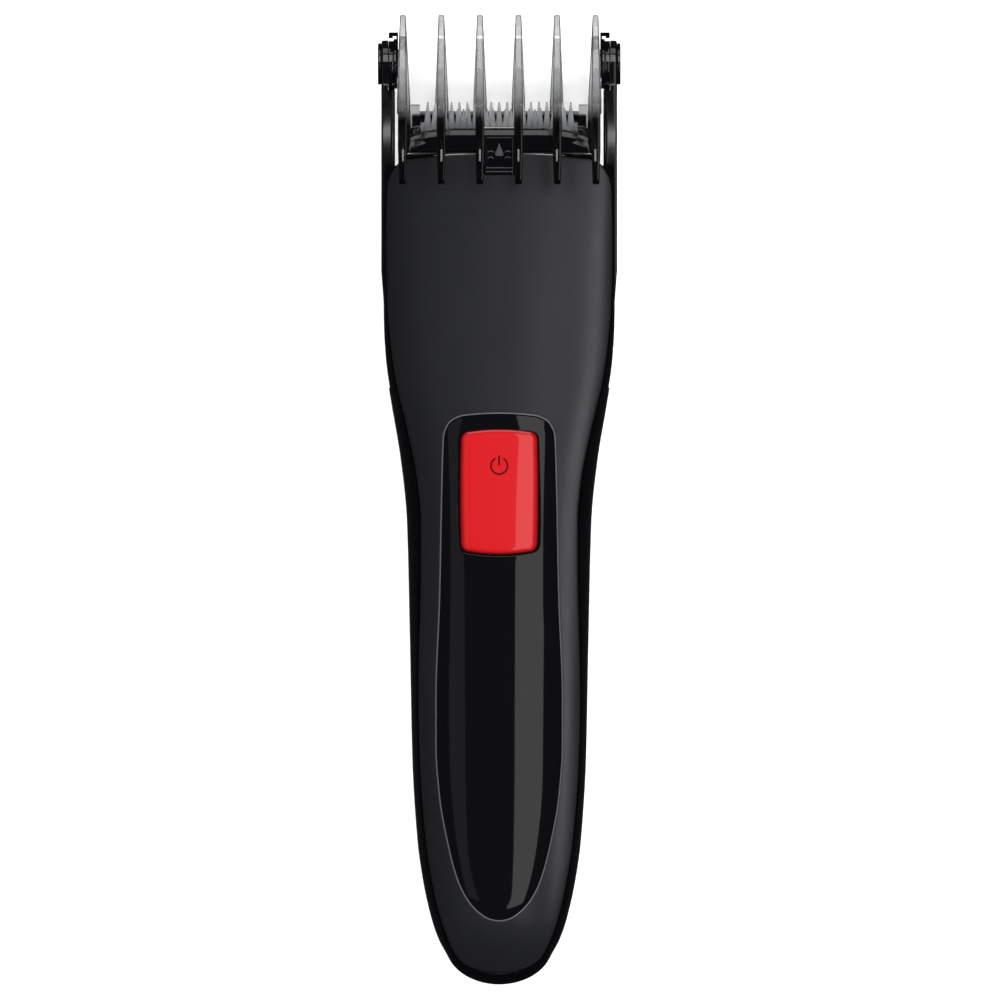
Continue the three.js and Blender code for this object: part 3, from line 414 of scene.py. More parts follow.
def maths(nodes, links, operation, *values):
    """A maths node fed by numbers or sockets; returns its output."""
    node = nodes.new("ShaderNodeMath")
    node.operation = operation
    for socket, value in zip(node.inputs, values):
        if isinstance(value, (int, float)):
            socket.default_value = value
        else:
            links.new(value, socket)
    return node.outputs[0]


SYMBOL_Y, SYMBOL_R, SYMBOL_LINE = 6.9, 1.65, 0.2
SYMBOL_GAP_SLOPE = 1.9
SYMBOL_BAR = (0.1, 2.1)


def button_red():
    """Glossy red, with painted shade round the rim where the surface turns away from up, and darker where the
    standby symbol is: an open ring and a short bar.
    """
    made = material("button_red", (0.34, 0.0055, 0.008), 0.3, grain=0.03, grain_size=0.5, vary=0.04,
                    specular_ior_level=0.1, coat_weight=1, coat_roughness=0.03)
    nodes, links = made.node_tree.nodes, made.node_tree.links
    shader = nodes["Principled BSDF"]
    split = nodes.new("ShaderNodeSeparateXYZ")
    place = nodes.new("ShaderNodeTexCoord")
    links.new(place.outputs["Object"], split.inputs["Vector"])
    calc = lambda operation, *values: maths(nodes, links, operation, *values)
    x = calc("ABSOLUTE", split.outputs["X"])
    y = calc("SUBTRACT", split.outputs["Y"], SYMBOL_Y * MM)
    radius = calc("SQRT", calc("ADD", calc("MULTIPLY", x, x), calc("MULTIPLY", y, y)))
    off_ring = calc("ABSOLUTE", calc("SUBTRACT", radius, SYMBOL_R * MM))
    ring = calc("LESS_THAN", off_ring, SYMBOL_LINE * MM)
    gap = calc("GREATER_THAN", y, calc("MULTIPLY", x, SYMBOL_GAP_SLOPE))
    ring = calc("MULTIPLY", ring, calc("SUBTRACT", 1.0, gap))
    bar = calc("LESS_THAN", x, SYMBOL_LINE * MM)
    bar = calc("MULTIPLY", bar, calc("GREATER_THAN", y, SYMBOL_BAR[0] * MM))
    bar = calc("MULTIPLY", bar, calc("LESS_THAN", y, SYMBOL_BAR[1] * MM))
    symbol = calc("MAXIMUM", ring, bar)
    shade = nodes.new("ShaderNodeMix")
    shade.data_type = "RGBA"
    shade.inputs["B"].default_value = (0.07, 0.001, 0.002, 1)
    links.new(symbol, shade.inputs["Factor"])
    # Painted shade: the colour darkens round the rolled rim as the normals tilt away from straight up.
    facing = nodes.new("ShaderNodeSeparateXYZ")
    links.new(place.outputs["Normal"], facing.inputs["Vector"])
    rim = nodes.new("ShaderNodeMapRange")
    rim.inputs["From Min"].default_value = 0.6
    rim.inputs["From Max"].default_value = 0.95
    links.new(facing.outputs["Z"], rim.inputs["Value"])
    edge = nodes.new("ShaderNodeMix")
    edge.data_type = "RGBA"
    edge.inputs["A"].default_value = (0.07, 0.0015, 0.003, 1)
    links.new(rim.outputs["Result"], edge.inputs["Factor"])
    links.new(shader.inputs["Base Color"].links[0].from_socket, edge.inputs["B"])
    links.new(edge.outputs["Result"], shade.inputs["A"])
    links.new(shade.outputs["Result"], shader.inputs["Base Color"])
    return made


RED = button_red()
# Painted shade on the comb: near black below the first y, clearing by the second.
LEG_PAINTED_SHADE_Y, LEG_CLEAR_Y = 76, 80.5


def smoky_clear():
    """Clear grey plastic, with painted shade along its rounded edges and painted shade deepening to near
    black towards the ends of the legs.
    """
    made = material("smoky_clear_plastic", (0.52, 0.525, 0.53), 0.05, grain=0.03, grain_size=2,
                    transmission_weight=0.94, ior=1.12, coat_weight=0.8, coat_roughness=0.04)
    nodes, links = made.node_tree.nodes, made.node_tree.links
    shader = nodes["Principled BSDF"]
    split = nodes.new("ShaderNodeSeparateXYZ")
    place = nodes.new("ShaderNodeTexCoord")
    links.new(place.outputs["Object"], split.inputs["Vector"])
    # Painted shade: near black towards the ends of the legs, which lie over the black body, fading to clear
    # grey towards the tips.
    fade = nodes.new("ShaderNodeMapRange")
    fade.inputs["From Min"].default_value = LEG_PAINTED_SHADE_Y * MM
    fade.inputs["From Max"].default_value = LEG_CLEAR_Y * MM
    links.new(split.outputs["Y"], fade.inputs["Value"])
    shade = nodes.new("ShaderNodeMix")
    shade.data_type = "RGBA"
    shade.inputs["A"].default_value = (0.004, 0.004, 0.005, 1)
    links.new(fade.outputs["Result"], shade.inputs["Factor"])
    # Painted shade along the rounded edges, where the sides turn away from view.
    facing = nodes.new("ShaderNodeSeparateXYZ")
    links.new(place.outputs["Normal"], facing.inputs["Vector"])
    side = maths(nodes, links, "MULTIPLY", facing.outputs["X"], facing.outputs["X"])
    rim = maths(nodes, links, "MULTIPLY", side, maths(nodes, links, "SUBTRACT", 1.0, side))
    rim = maths(nodes, links, "MINIMUM", maths(nodes, links, "MULTIPLY", rim, 5.0), 1.0)
    edge = nodes.new("ShaderNodeMix")
    edge.data_type = "RGBA"
    edge.inputs["B"].default_value = (0.03, 0.03, 0.032, 1)
    links.new(rim, edge.inputs["Factor"])
    links.new(shader.inputs["Base Color"].links[0].from_socket, edge.inputs["A"])
    links.new(edge.outputs["Result"], shade.inputs["B"])
    links.new(shade.outputs["Result"], shader.inputs["Base Color"])
    return made


SMOKE = smoky_clear()


def dress(obj, finish):
    obj.data.materials.clear()
    obj.data.materials.append(finish)
    return obj


def piece(obj, finish, slot, body, *nodes):
    """Gives a fine piece its material, its body and the CAD nodes that it stands for."""
    dress(obj, finish)
    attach(obj, body)
    if nodes:
        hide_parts(*nodes)
    return obj


# ---- Covers ---------------------------------------------------------------------------------------
def loft(name, inset, top_y, most=None):
    """The body shape drawn in by inset, flat along the table, and no wider than most beside the arms."""
    start = TAIL_Y + inset
    tail = start + 16 * (1 - np.cos(np.linspace(0.03, math.pi / 2, 26)))
    stations = np.concatenate([tail, np.linspace(start + 17.5, top_y, 84)])
    angles = np.linspace(0, 2 * math.pi, 160, endpoint=False)
    rings = []
    for y in stations:
        half, front, back = (float(v) for v in section(y, inset))
        if most is not None and y > GROOVE_LOW - 6:
            half = min(half, most)
        ring = []
        for angle in angles:
            c, s = math.cos(angle), math.sin(angle)
            n = FRONT_POWER if s >= 0 else BACK_POWER
            height = front if s >= 0 else back
            x = half * math.copysign(abs(c) ** (2 / n), c)
            z = MID_Z + height * math.copysign(abs(s) ** (2 / n), s)
            ring.append((x, y, max(z, FLOOR_WALL if inset else 0.0)))
        rings.append(ring)
    return rings_object(name, rings)


GROOVE_IN, GROOVE_HALF, GROOVE_LOW = 20.5, 4.1, 22.6
COVER_TOP, SHOULDER_X, SHOULDER_Y = 69.2, 19.6, 67


def rear_cover():
    shell = loft("rear_shell", 0, 71)
    boolean(shell, loft("cavity", WALL, 72, CAVITY_HALF), "DIFFERENCE")
    rim = shifted(mirrored(COVER_HALF), GAP)
    depth = (-5, FAR_Z)
    boolean(shell, sharp("rim", even(rim, 500), SPLIT_Z - GAP, FAR_Z, "z"), "DIFFERENCE")
    groove_z = (MID_Z - GROOVE_HALF, MID_Z + GROOVE_HALF)
    cutters = [block((GROOVE_IN, FAR_X), (GROOVE_LOW, FAR_Y), groove_z)]
    cutters.append(block((-FAR_X, -GROOVE_IN), (GROOVE_LOW, FAR_Y), groove_z))
    cutters.append(block((-FAR_X, FAR_X), (COVER_TOP, FAR_Y), depth))
    cutters.append(block((SHOULDER_X, FAR_X), (SHOULDER_Y, FAR_Y), depth))
    cutters.append(block((-FAR_X, -SHOULDER_X), (SHOULDER_Y, FAR_Y), depth))
    for node in ("length_selector", "charge_socket"):
        low, high = box_mm(node)
        trim = 1 if node == "length_selector" else 0
        y = (low[1] + trim - GAP, high[1] - trim + GAP) if trim else (TAIL_Y - 2, high[1] + GAP)
        z = (-5, 12) if trim else (low[2] - GAP, high[2] + GAP)
        cutters.append(block((low[0] + trim - GAP, high[0] - trim + GAP), y, z))
    for cutter in cutters:
        boolean(shell, cutter, "DIFFERENCE")
    return piece(soft_edges(shell, 32), SHELL_BLACK, "gloss_black", "body", "rear_cover")


def stretches(half_outline, marks, counts):
    """A half outline sampled evenly between marks, which are y or None for its ends, and mirrored."""
    run = np.concatenate([[0], np.cumsum(np.linalg.norm(np.diff(half_outline, axis=0), axis=1))])
    stops = []
    for mark in marks:
        if mark is None:
            stops.append(run[-1] if stops else 0)
        else:
            stops.append(run[np.argmax(half_outline[:, 1] >= mark)])
    runs = [np.linspace(a, b, n, endpoint=False) for a, b, n in zip(stops, stops[1:], counts)]
    at = np.concatenate(runs + [[stops[-1]]])
    right = np.stack([np.interp(at, run, half_outline[:, k]) for k in range(2)], axis=1)
    return np.vstack([right, right[-2:0:-1] * (-1, 1)])


def right_half(outline):
    """The part of a closed outline from its bottom up the right to its top."""
    top = int(np.argmax(outline[:, 1]))
    return outline[: top + 1]


def heights(points, lift=0.0):
    return [(x, y, float(surface_z(x, y)) + lift) for x, y in points]


DROP_BANDS = (3.0, 2.6, 2.2, 1.8, 1.4, 1.0, 0.7, 0.45)


def annulus(name, inner, outer, rows, edge_in, edge_out, depth, lift, drop):
    """A round-rimmed plate between outlines on the body's front, its outer band falling by drop."""
    turns = np.linspace(0, math.pi / 2, 5)
    top = []
    for turn in turns:
        line = shifted(inner, edge_in * (1 - math.cos(turn)))
        top.append((line, lift - edge_in * (1 - math.sin(turn))))
    last_in = shifted(inner, edge_in)
    bands = [d for d in DROP_BANDS if d > edge_out] if drop else []
    first_out = shifted(outer, -(bands[0] if bands else edge_out))
    for part in np.linspace(0, 1, rows + 1)[1:]:
        top.append((last_in * (1 - part) + first_out * part, lift))
    for d in bands[1:]:
        top.append((shifted(outer, -d), lift - drop * (1 - d / bands[0]) ** 2))
    sunk = drop * (1 - edge_out / bands[0]) ** 2 if bands else 0
    for turn in turns:
        line = shifted(outer, -edge_out * (1 - math.sin(turn)))
        top.append((line, lift - sunk - edge_out * (1 - math.cos(turn))))
    under = [(outer, lift - sunk - depth)]
    under += [(line, lift - depth) for line in (first_out, last_in, inner)]
    rings = [heights(points, z) for points, z in top + under]
    points = [q for ring in rings for q in ring]
    return mesh_object(name, points, ring_faces(len(inner), len(rings), closed=True))


INLAY_DROP = 0.4
INLAY_MARKS = (None, -14, 13.4, None)


def front_cover():
    counts = (40, 130, 80)
    marks = (None, -78, 13, None)
    inner = shifted(stretches(right_half(mirrored(INLAY_HALF)), marks, counts), 0.1)
    outer = stretches(right_half(mirrored(COVER_HALF)), marks, counts)
    cover = annulus("front_shell", inner, outer, 34, 0.2, 0.4, 2.0, 0, 0)
    notch = rounded([(-TAB_HALF - GAP, 75), (-TAB_HALF - GAP, TAB_LOW - GAP), (TAB_HALF + GAP, TAB_LOW - GAP),
                     (TAB_HALF + GAP, 75)], 0.6)
    boolean(cover, sharp("notch", notch, SPLIT_Z, FAR_Z, "z"), "DIFFERENCE")
    return piece(soft_edges(cover, 40), MATTE_BLACK, "matte_black", "body", "front_cover")


def inlay_panel():
    counts = (150, 60, 40)
    outer = shifted(stretches(right_half(mirrored(INLAY_HALF)), INLAY_MARKS, counts), -0.2)
    button = right_half(button_outline(GAP))
    inner = stretches(button, (None, BUTTON_LOW + 1.4, BUTTON_TOP - 1.4, None), counts)
    inlay = annulus("inlay_skin", inner, outer, 44, 0.3, 0.2, 0.9, 0.04, INLAY_DROP)
    return piece(soft_edges(inlay, 40), GLOSS_BLACK, "gloss_black", "body", "inlay_panel")


def inlay_rim():
    """A light grey ring round the inlay: a painted highlight along its edge."""
    counts = (150, 60, 60)
    half = stretches(right_half(mirrored(INLAY_HALF)), INLAY_MARKS, counts)
    rim = annulus("inlay_rim", shifted(half, -0.12), shifted(half, 0.14), 2, 0.04, 0.04, 0.5, 0.07, 0)
    return piece(soft_edges(rim, 40), RIM_HIGHLIGHT_GREY, "matte_black", "body")


def power_button():
    """A barrel-shaped cap with soft rolled edges, a little proud of the body's front that it follows."""
    outline = even(button_outline(), 240)
    centre = np.array([0, (BUTTON_LOW + BUTTON_TOP) / 2])
    low = box_mm("power_button")[0][2]
    flat = [(x, y, low) for x, y in outline]
    rings = [flat, heights(outline, BUTTON_PROUD - BUTTON_SKIRT)]
    for turn in np.linspace(0, math.pi / 2, 9):
        line = shifted(outline, -BUTTON_ROLL * (1 - math.cos(turn)))
        rings.append(heights(line, BUTTON_PROUD - BUTTON_FALL * (1 - math.sin(turn))))
    edge = shifted(outline, -BUTTON_ROLL)
    for scale in np.linspace(1, 0.03, 28)[1:]:
        rings.append(heights(centre + (edge - centre) * scale, BUTTON_PROUD))
    cap = rings_object("power_cap", rings)
    return piece(soft_edges(cap, 50), RED, "red", "button", "power_button")


# ---- Cutting head ---------------------------------------------------------------------------------
HEAD_Y, HEAD_HALF, HEAD_LIP = 69.6, 18.6, 74.4
GUARD_TIP = (79.7, 20)
BLADE_TILT = math.radians(20)
CHEEK_IN, CHEEK_OUT, CHEEK_Y = 15.7, 17.4, 77.2
HEAD_EDGE, BROW_FLAT, BROW_DROP = 0.9, 8, 1.4
DROP_Y, DROP_R = 69.2, 0.85
WAVE = [(-0.6, 0), (0, 0.25), (0.6, 0), (0.6, 0.22), (0, 0.47), (-0.6, 0.22)]


def guard_line(y, lift):
    """The point at y on the plane where the two blades meet, lifted off it."""
    return (y, GUARD_TIP[1] + (y - GUARD_TIP[0]) * math.tan(BLADE_TILT) + lift / math.cos(BLADE_TILT))


def head_housing():
    """The head with its band bent back at the ends, hollowed for the two blades and parted at the cheeks."""
    behind = guard_line(CHEEK_Y, 0)[1] - 1.1
    side = [(HEAD_Y, 10.7), (75, 15.3), (CHEEK_Y, behind), (CHEEK_Y, 20.9), (HEAD_LIP + 0.6, 21.5),
            (HEAD_LIP, 23.5), (74.2, 24.6), (73, 25.5), (71.4, 26), (HEAD_Y, 26.3)]
    outline = rounded(side, 0.35)
    rings = []
    turns = np.linspace(0, math.pi / 2, 7)
    ends = [(1 - math.cos(t), 1 - math.sin(t)) for t in turns]
    stations = [(-HEAD_HALF + HEAD_EDGE * a, HEAD_EDGE * b) for a, b in ends]
    stations += [(x, 0) for x in np.linspace(HEAD_EDGE - HEAD_HALF, HEAD_HALF - HEAD_EDGE, 41)[1:-1]]
    stations += [(HEAD_HALF - HEAD_EDGE * a, HEAD_EDGE * b) for a, b in reversed(ends)]
    for x, drawn_in in stations:
        back = BROW_DROP * max(0, (abs(x) - BROW_FLAT) / (HEAD_HALF - BROW_FLAT)) ** 2
        line = shifted(outline, -drawn_in)
        front = np.clip((line[:, 1] - 21) / 2, 0, 1) * np.clip((line[:, 0] - HEAD_Y) / 3, 0, 1)
        rings.append([(x, y - back * f, z - 0.45 * back * f) for (y, z), f in zip(line, front)])
    housing = rings_object("head_shell", rings)
    floor, lip = HEAD_Y + 1, HEAD_LIP + 0.05
    guard_room = [guard_line(floor, -0.3), guard_line(FAR_Y, -0.3)]
    guard_room += [guard_line(FAR_Y, 1.15), guard_line(floor, 1.15)]
    cutter_room = [guard_line(floor, 1), guard_line(FAR_Y, 1), (FAR_Y, FAR_Z), (lip, FAR_Z)]
    cutter_room += [(lip, 23), (floor, 23)]
    boolean(housing, sharp("room", guard_room, -18, 18), "DIFFERENCE")
    boolean(housing, sharp("room", cutter_room, -CHEEK_IN, CHEEK_IN), "DIFFERENCE")
    for x in ((CHEEK_OUT, 30), (-30, -CHEEK_OUT)):
        boolean(housing, block(x, (lip, FAR_Y), (0, FAR_Z)), "DIFFERENCE")
    boolean(housing, block((-3.2, 3.2), (HEAD_Y - 1, floor + 1), (18.8, 22.4)), "DIFFERENCE")
    return piece(soft_edges(housing, 40), GLOSS_BLACK, "gloss_black", "body", "head_housing")


def head_tab():
    """The release tab that runs down into the cover's notch, with a ribbed foot and a water-drop mark."""
    outline = rounded([(-TAB_HALF, TAB_LOW), (TAB_HALF, TAB_LOW), (TAB_HALF, 72.6), (-TAB_HALF, 72.6)], 0.5)
    dense = even(outline, 160)
    centre = np.array([0, 68.8])
    rings = [heights(dense, -2.2)]
    for turn in np.linspace(0, math.pi / 2, 6):
        line = shifted(dense, -TAB_EDGE * (1 - math.cos(turn)))
        rings.append(heights(line, -TAB_SUNK - TAB_EDGE * (1 - math.sin(turn))))
    edge = shifted(dense, -TAB_EDGE)
    for scale in np.linspace(1, 0.03, 14)[1:]:
        rings.append(heights(centre + (edge - centre) * scale, -TAB_SUNK))
    tab = rings_object("head_tab", rings)
    for y in (65.5, 66.25):
        z = float(surface_z(0, y)) - 0.3
        line = rounded([(-2.7, y), (2.7, y), (2.7, y + 0.2), (-2.7, y + 0.2)], 0.08)
        piece(slab("tab_line", line, z, z + 0.22, "z", 0.04, 2), MARK_GREY, "gloss_black", "body")
    piece(soft_edges(tab, 40), GLOSS_BLACK, "gloss_black", "body")
    drop = [(0, 71.4)]
    for k in range(17):
        angle = math.radians(50) - math.radians(280) * k / 16
        drop.append((DROP_R * math.cos(angle), DROP_Y + DROP_R * math.sin(angle)))
    mark_z = float(surface_z(0, 69.6)) - 0.25
    mark = slab("water_mark", drop, mark_z, mark_z + 0.2, "z", 0.05, 2)
    piece(mark, MARK_GREY, "gloss_black", "body")
    for x in (-1.7, 1.7):
        for y in (68.2, 69.4):
            wave = [(x + across, y + up) for across, up in WAVE]
            z = float(surface_z(x, y)) - 0.25
            piece(slab("wave_mark", wave, z, z + 0.18, "z", 0.03, 2), MARK_GREY, "gloss_black", "body")


# ---- Comb -----------------------------------------------------------------------------------------
TIP_Y, RIB_TOP_Z = 97, 34.2
RIB_X = (3.85, 11.55, 19.25)
RIB_SIDE = [(97, 22.6), (96.2, 23.9), (91.5, 27.6), (86, 30.6), (80, 32.9), (74, 34.1), (69, 34.2),
            (65.2, 33.7), (63.5, 33.2), (62.9, 32.4), (63.3, 31.7), (64.4, 31.3), (70, 31.6), (76, 31),
            (82, 29.4), (87, 26.8), (91, 24), (92.4, 21), (91.4, 18), (87.6, 13.8), (82.6, 8.2), (78.2, 3.8),
            (78.2, 0.8), (80.4, 0.8), (84, 4.6), (89, 10.4), (93, 16), (96.3, 20.9), (96.9, 21.8)]
RIB_EDGE = 0.28
CROSSBAR_Y, CROSSBAR_Z, CROSSBAR_HALF = (74.9, 78.4), (0.8, 3.6), 20
WEB_SIDE = [(91, 24), (86, 17), (85, 11.2), (88, 13), (91.6, 18.5), (92.6, 22)]


def spline(points, steps):
    """A closed Catmull-Rom curve through points, kept inside the comb's tip and top."""
    p = np.array(points, float)
    out = []
    for i in range(len(p)):
        a, b, c, d = p[i - 1], p[i], p[(i + 1) % len(p)], p[(i + 2) % len(p)]
        for t in np.linspace(0, 1, steps, endpoint=False):
            square, cube = 2 * a - 5 * b + 4 * c - d, 3 * b - a - 3 * c + d
            out.append(0.5 * (2 * b + (c - a) * t + square * t * t + cube * t ** 3))
    return np.minimum(out, (TIP_Y, RIB_TOP_Z))


def rib_half(y, z):
    """Half the thickness of a rib: slim at the tip and the foot of the front leg, wider down the back leg."""
    to_tip = np.clip((y - 80) / (TIP_Y - 80), 0, 1)
    front = 0.66 + 0.24 * np.clip((y - 62) / 8, 0, 1) - 0.28 * to_tip
    back = 1.35 - 0.75 * to_tip
    lean = np.clip((27 - z) / 8, 0, 1)
    return front * (1 - lean) + back * lean


def rib(x):
    outline = spline(RIB_SIDE, 5)
    half = rib_half(outline[:, 0], outline[:, 1])
    rings = []
    turns = np.linspace(0, math.pi / 2, 5)
    for side in (-1, 1):
        for turn in turns if side < 0 else turns[::-1]:
            line = shifted(outline, -RIB_EDGE * (1 - math.sin(turn)))
            away = half - RIB_EDGE * (1 - math.cos(turn))
            rings.append([(x + side * w, y, z) for (y, z), w in zip(line, away)])
    return plate_object("rib", rings)


def comb_head():
    (near, far), (low, high) = CROSSBAR_Y, CROSSBAR_Z
    bar = rounded([(near, low), (far, low), (far, high), (near, high)], 0.6)
    comb = slab("comb_skin", bar, -CROSSBAR_HALF, CROSSBAR_HALF, "x", 0.4)
    for x in RIB_X:
        for side in (-1, 1):
            boolean(comb, rib(side * x), "UNION")
    inner, outer = HEAD_HALF + 0.3, RIB_X[2] + 0.7
    for web in both_sides(slab("web", rounded(WEB_SIDE, 0.8), inner, outer, "x", 0.15)):
        boolean(comb, web, "UNION")
    for boss in both_sides(disc("boss", 2.9, (inner, 20.4))):
        boolean(comb, boss, "UNION")
    return piece(soft_edges(comb, 40), SMOKE, "smoke", "comb", "comb_head")


ARM_IN, ARM_OUT, ARM_HALF, ARM_LOW, ARM_FLARE = 20.9, 23.6, 3.8, 36, 79.3
BOSS_R, BOSS_LOW = 4.7, 83
HINGE_ROOM_X, HINGE_ROOM_Y = 22.26, 82.1
STEP_PITCH = 2


def arms():
    """The two sliding arms, each with a boss for the pivot, room for the hinge and teeth along its inside."""
    side = [(ARM_LOW, MID_Z - ARM_HALF), (ARM_FLARE, MID_Z - ARM_HALF), (BOSS_LOW, MID_Z - BOSS_R)]
    side += arc(PIVOT_Y, MID_Z, BOSS_R, np.linspace(-math.pi / 2, math.pi / 2, 33))
    side += [(BOSS_LOW, MID_Z + BOSS_R), (ARM_FLARE, MID_Z + ARM_HALF), (ARM_LOW, MID_Z + ARM_HALF)]
    arm = slab("arm_skin_left", side, ARM_IN, ARM_OUT, "x", 0.45, 5)
    boolean(arm, block((0, HINGE_ROOM_X), (HINGE_ROOM_Y, 100), (0, 40)), "DIFFERENCE")
    taper = [(22.4, 30), (ARM_OUT + 1, 30), (ARM_OUT + 1, 46), (ARM_OUT, 46)]
    boolean(arm, sharp("taper", taper, 0, 40, "z"), "DIFFERENCE")
    boolean(arm, disc("bore", 2, (20, 25), edge=0.0), "DIFFERENCE")
    for y in np.arange(ARM_LOW + 4, 60, STEP_PITCH):
        notch = block((ARM_IN - 1, ARM_IN + 0.5), (y - 0.5, y + 0.5), (MID_Z - 1.5, MID_Z + 1.5))
        boolean(arm, notch, "DIFFERENCE")
    left, right = both_sides(soft_edges(arm, 40))
    piece(left, GLOSS_BLACK, "gloss_black", "comb_carriage", "arm_left")
    piece(right, GLOSS_BLACK, "gloss_black", "comb_carriage", "arm_right")


TONGUE_END = 82.15
TONGUE_HALF, TONGUE_ROOT_HALF, TONGUE_ROOT_Y = 3, 3.4, 86


def hinges():
    """The hinges and caps. A hinge's tongue ends round about the pivot, to clear the arm at every tilt."""
    hub = disc("hinge_skin_left", 5, (20.43, 21.15), edge=0.18)
    boolean(hub, disc("hub", 4.6, (21.05, 22.2), edge=0.2), "UNION")
    reach = PIVOT_Y - TONGUE_END
    swing = math.asin(TONGUE_HALF / reach)
    tongue = [(TONGUE_ROOT_Y, MID_Z - TONGUE_ROOT_HALF), (TONGUE_ROOT_Y, MID_Z + TONGUE_ROOT_HALF)]
    tongue += arc(PIVOT_Y, MID_Z, -reach, np.linspace(-swing, swing, 13))
    boolean(hub, slab("tongue", tongue, 20.95, 22.18, "x", 0.15), "UNION")
    boolean(hub, disc("journal", 1.7, (21.8, ARM_OUT)), "UNION")
    left, right = both_sides(soft_edges(hub, 40))
    piece(left, GLOSS_BLACK, "gloss_black", "comb", "comb_hinge_left")
    piece(right, GLOSS_BLACK, "gloss_black", "comb", "comb_hinge_right")
    cap = disc("cap_skin_left", 4.15, (ARM_OUT + 0.03, 24.3), edge=0.2)
    boolean(cap, disc("dimple", 1.5, (24.15, 25), edge=0.0), "DIFFERENCE")
    left, right = both_sides(soft_edges(cap, 40))
    piece(left, GLOSS_BLACK, "gloss_black", "comb", "pivot_cap_left")
    piece(right, GLOSS_BLACK, "gloss_black", "comb", "pivot_cap_right")


# ---- The CAD pieces that show as they are ---------------------------------------------------------
FINISHES = {"gloss_black": GLOSS_BLACK, "matte_black": SATIN_BLACK, "steel": STEEL, "zinc": ZINC,
            "board_green": BOARD, "nylon": NYLON, "rubber": RUBBER, "cell_wrap": CELL,
            "wire_red": LEAD_RED, "wire_black": LEAD_BLACK, "smoke": SMOKE, "red": RED}
REPLACED = {"rear_cover", "front_cover", "inlay_panel", "power_button", "head_housing", "comb_head"}


RIM, BLADE_RIM = 0.12, 0.06


def dress_cad_nodes():
    for part in frame["record"]["subparts"]:
        node = NODES[part["node"]]
        if part["node"] in REPLACED:
            continue
        dress(node, FINISHES[part["material_slot"]])
        rim = node.modifiers.new("rim", "BEVEL")
        rim.width = (BLADE_RIM if "blade" in part["node"] else RIM) * MM
        rim.segments = 2
        rim.limit_method = "ANGLE"
        rim.angle_limit = math.radians(40)
        rim.harden_normals = True
    dress(NODES["cutter_blade"], DARK_STEEL)


# ---- Room, lights and camera ----------------------------------------------------------------------
WALL_SIDES, WALL_RADIUS, WALL_HEIGHT = 64, 2900, 1500
FLOOR_HALF, FLOOR_CLEARANCE = 3000, 0.02


def pale(name, glow):
    """Pale matt paint that gives off a little light of its own."""
    return material(name, (0.93, 0.93, 0.93), 0.6, grain=0.05, grain_size=6, vary=0.01,
                    emission_color=(1, 1, 1, 1), emission_strength=glow)


def room():
    """The floor, and a round wall that only shows behind the clipper in low views."""
    corners = [(-FLOOR_HALF, -FLOOR_HALF, 0), (FLOOR_HALF, -FLOOR_HALF, 0)]
    corners += [(-x, -y, 0) for x, y, _ in corners]
    floor = mesh_object("floor", corners, [(0, 1, 2, 3)])
    floor.location.z = -FLOOR_CLEARANCE * MM
    dress(floor, pale("pale_floor", 0.16))
    floor.visible_glossy = False
    turns = np.linspace(0, 2 * math.pi, WALL_SIDES, endpoint=False)
    round_wall = [(x, y, z) for z in (-1, WALL_HEIGHT) for x, y in arc(0, 0, WALL_RADIUS, turns)]
    wall = mesh_object("backdrop", round_wall, ring_faces(WALL_SIDES, 2))
    dress(wall, pale("pale_wall", 0.1))
    wall.visible_diffuse = wall.visible_glossy = wall.visible_shadow = False


def softbox(name, x, y, z, wide, long, power, target=(0, 0, 0.02), visible=True):
    """A rectangular light in metres and watts, facing a point, with its long side along y."""
    light = bpy.data.lights.new(name, "AREA")
    light.shape = "RECTANGLE"
    light.size, light.size_y = wide, long
    light.energy = power
    lamp = bpy.data.objects.new(name, light)
    lamp.location = (x, y, z)
    facing = (Vector(target) - Vector((x, y, z))).normalized()
    side = facing.cross(Vector((0, 1, 0))).normalized()
    up = side.cross(facing)
    lamp.matrix_world = Matrix.Translation(lamp.location) @ Matrix((side, up, -facing)).transposed().to_4x4()
    lamp.visible_glossy = visible
    lamp.visible_camera = False
    bpy.context.scene.collection.objects.link(lamp)
    return lamp


def only(names, *lamps):
    """Keeps lamps to some objects."""
    lit = bpy.data.collections.new("lit_by_" + lamps[0].name)
    for name in names:
        lit.objects.link(bpy.data.objects[name])
    for lamp in lamps:
        lamp.light_linking.receiver_collection = lit


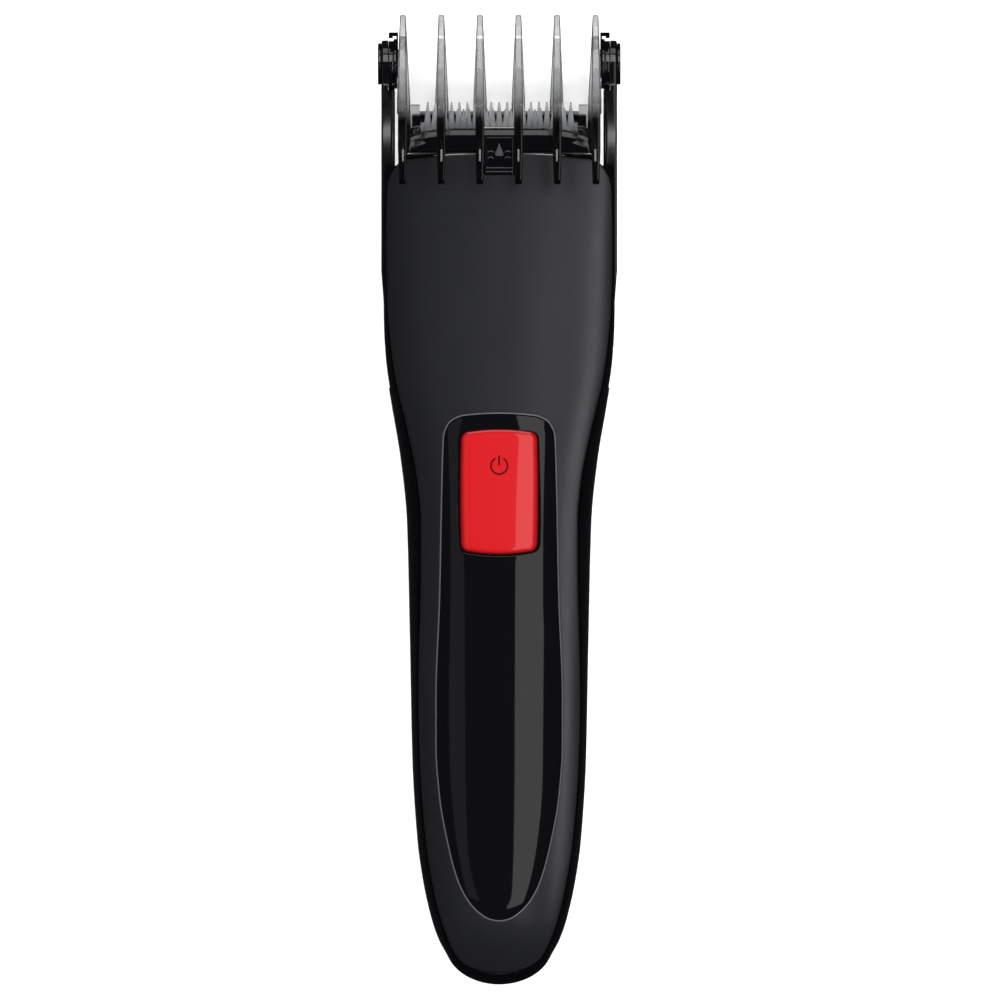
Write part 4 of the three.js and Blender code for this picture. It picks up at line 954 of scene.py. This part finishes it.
def lights():
    """General lights, then lights for single pieces, and a faint even glow from all round."""
    softbox("strip_right", 0.26, -0.02, 0.542, 0.352, 0.9, 1.2, target=(0, -0.02, 0.031))
    softbox("wash_left", -0.5, 0, 0.55, 0.36, 1.0, 0.22)
    softbox("head_light", 0.0, 0.85, 0.36, 0.9, 0.44, 2.4)
    softbox("overhead", 0.0, 0.0, 1.9, 2.4, 2.4, 100, visible=False)
    only(["front_shell"], softbox("shoulder_right", 0.75, 0.25, 0.47, 0.5, 0.5, 1.15),
         softbox("side_right", 0.9, -0.02, 0.12, 0.4, 0.6, 2.8))
    only(["comb_skin"], softbox("leg_light", 0, 0.01, 0.6, 0.07, 0.14, 0.2, target=(0, 0.01, 0)))
    skins = ("arm_skin", "hinge_skin", "cap_skin")
    fittings = [skin + side for skin in skins for side in ("_left", "_right")]
    only(fittings, softbox("arm_light", 0, -0.03, 0.6, 0.5, 0.006, 0.06, target=(0, -0.028, 0)),
         softbox("boss_light", 0, 0.38, 0.6, 0.6, 0.4, 2.8))
    only(["rear_shell"], softbox("side_low_right", 1.7, 0, 0.3, 0.5, 1.4, 3),
         softbox("side_low_left", -1.7, 0, 0.3, 0.5, 1.4, 3))
    world = bpy.data.worlds.new("studio")
    world.use_nodes = True
    world.node_tree.nodes["Background"].inputs["Color"].default_value = (0.9, 0.93, 1.0, 1)
    world.node_tree.nodes["Background"].inputs["Strength"].default_value = 0.03
    bpy.context.scene.world = world
    bpy.context.scene.view_settings.view_transform = "Standard"


EYE_X, EYE_Y, EYE_DISTANCE, VIEW_HEIGHT = 0.00016, 0.0001, 2.5, 0.2004  # metres


def camera():
    """Straight above the clipper, with the blades at the top of the picture."""
    lens = bpy.data.cameras.new("camera")
    lens.sensor_width = 36
    lens.lens = lens.sensor_width * EYE_DISTANCE / VIEW_HEIGHT
    lens.clip_start = 0.01
    eye = bpy.data.objects.new("camera", lens)
    eye.location = (EYE_X, EYE_Y, EYE_DISTANCE + MID_Z * MM)
    bpy.context.scene.collection.objects.link(eye)
    bpy.context.scene.camera = eye


rear_cover()
front_cover()
inlay_panel()
inlay_rim()
power_button()
head_housing()
head_tab()
comb_head()
arms()
hinges()
dress_cad_nodes()
room()
lights()
camera()
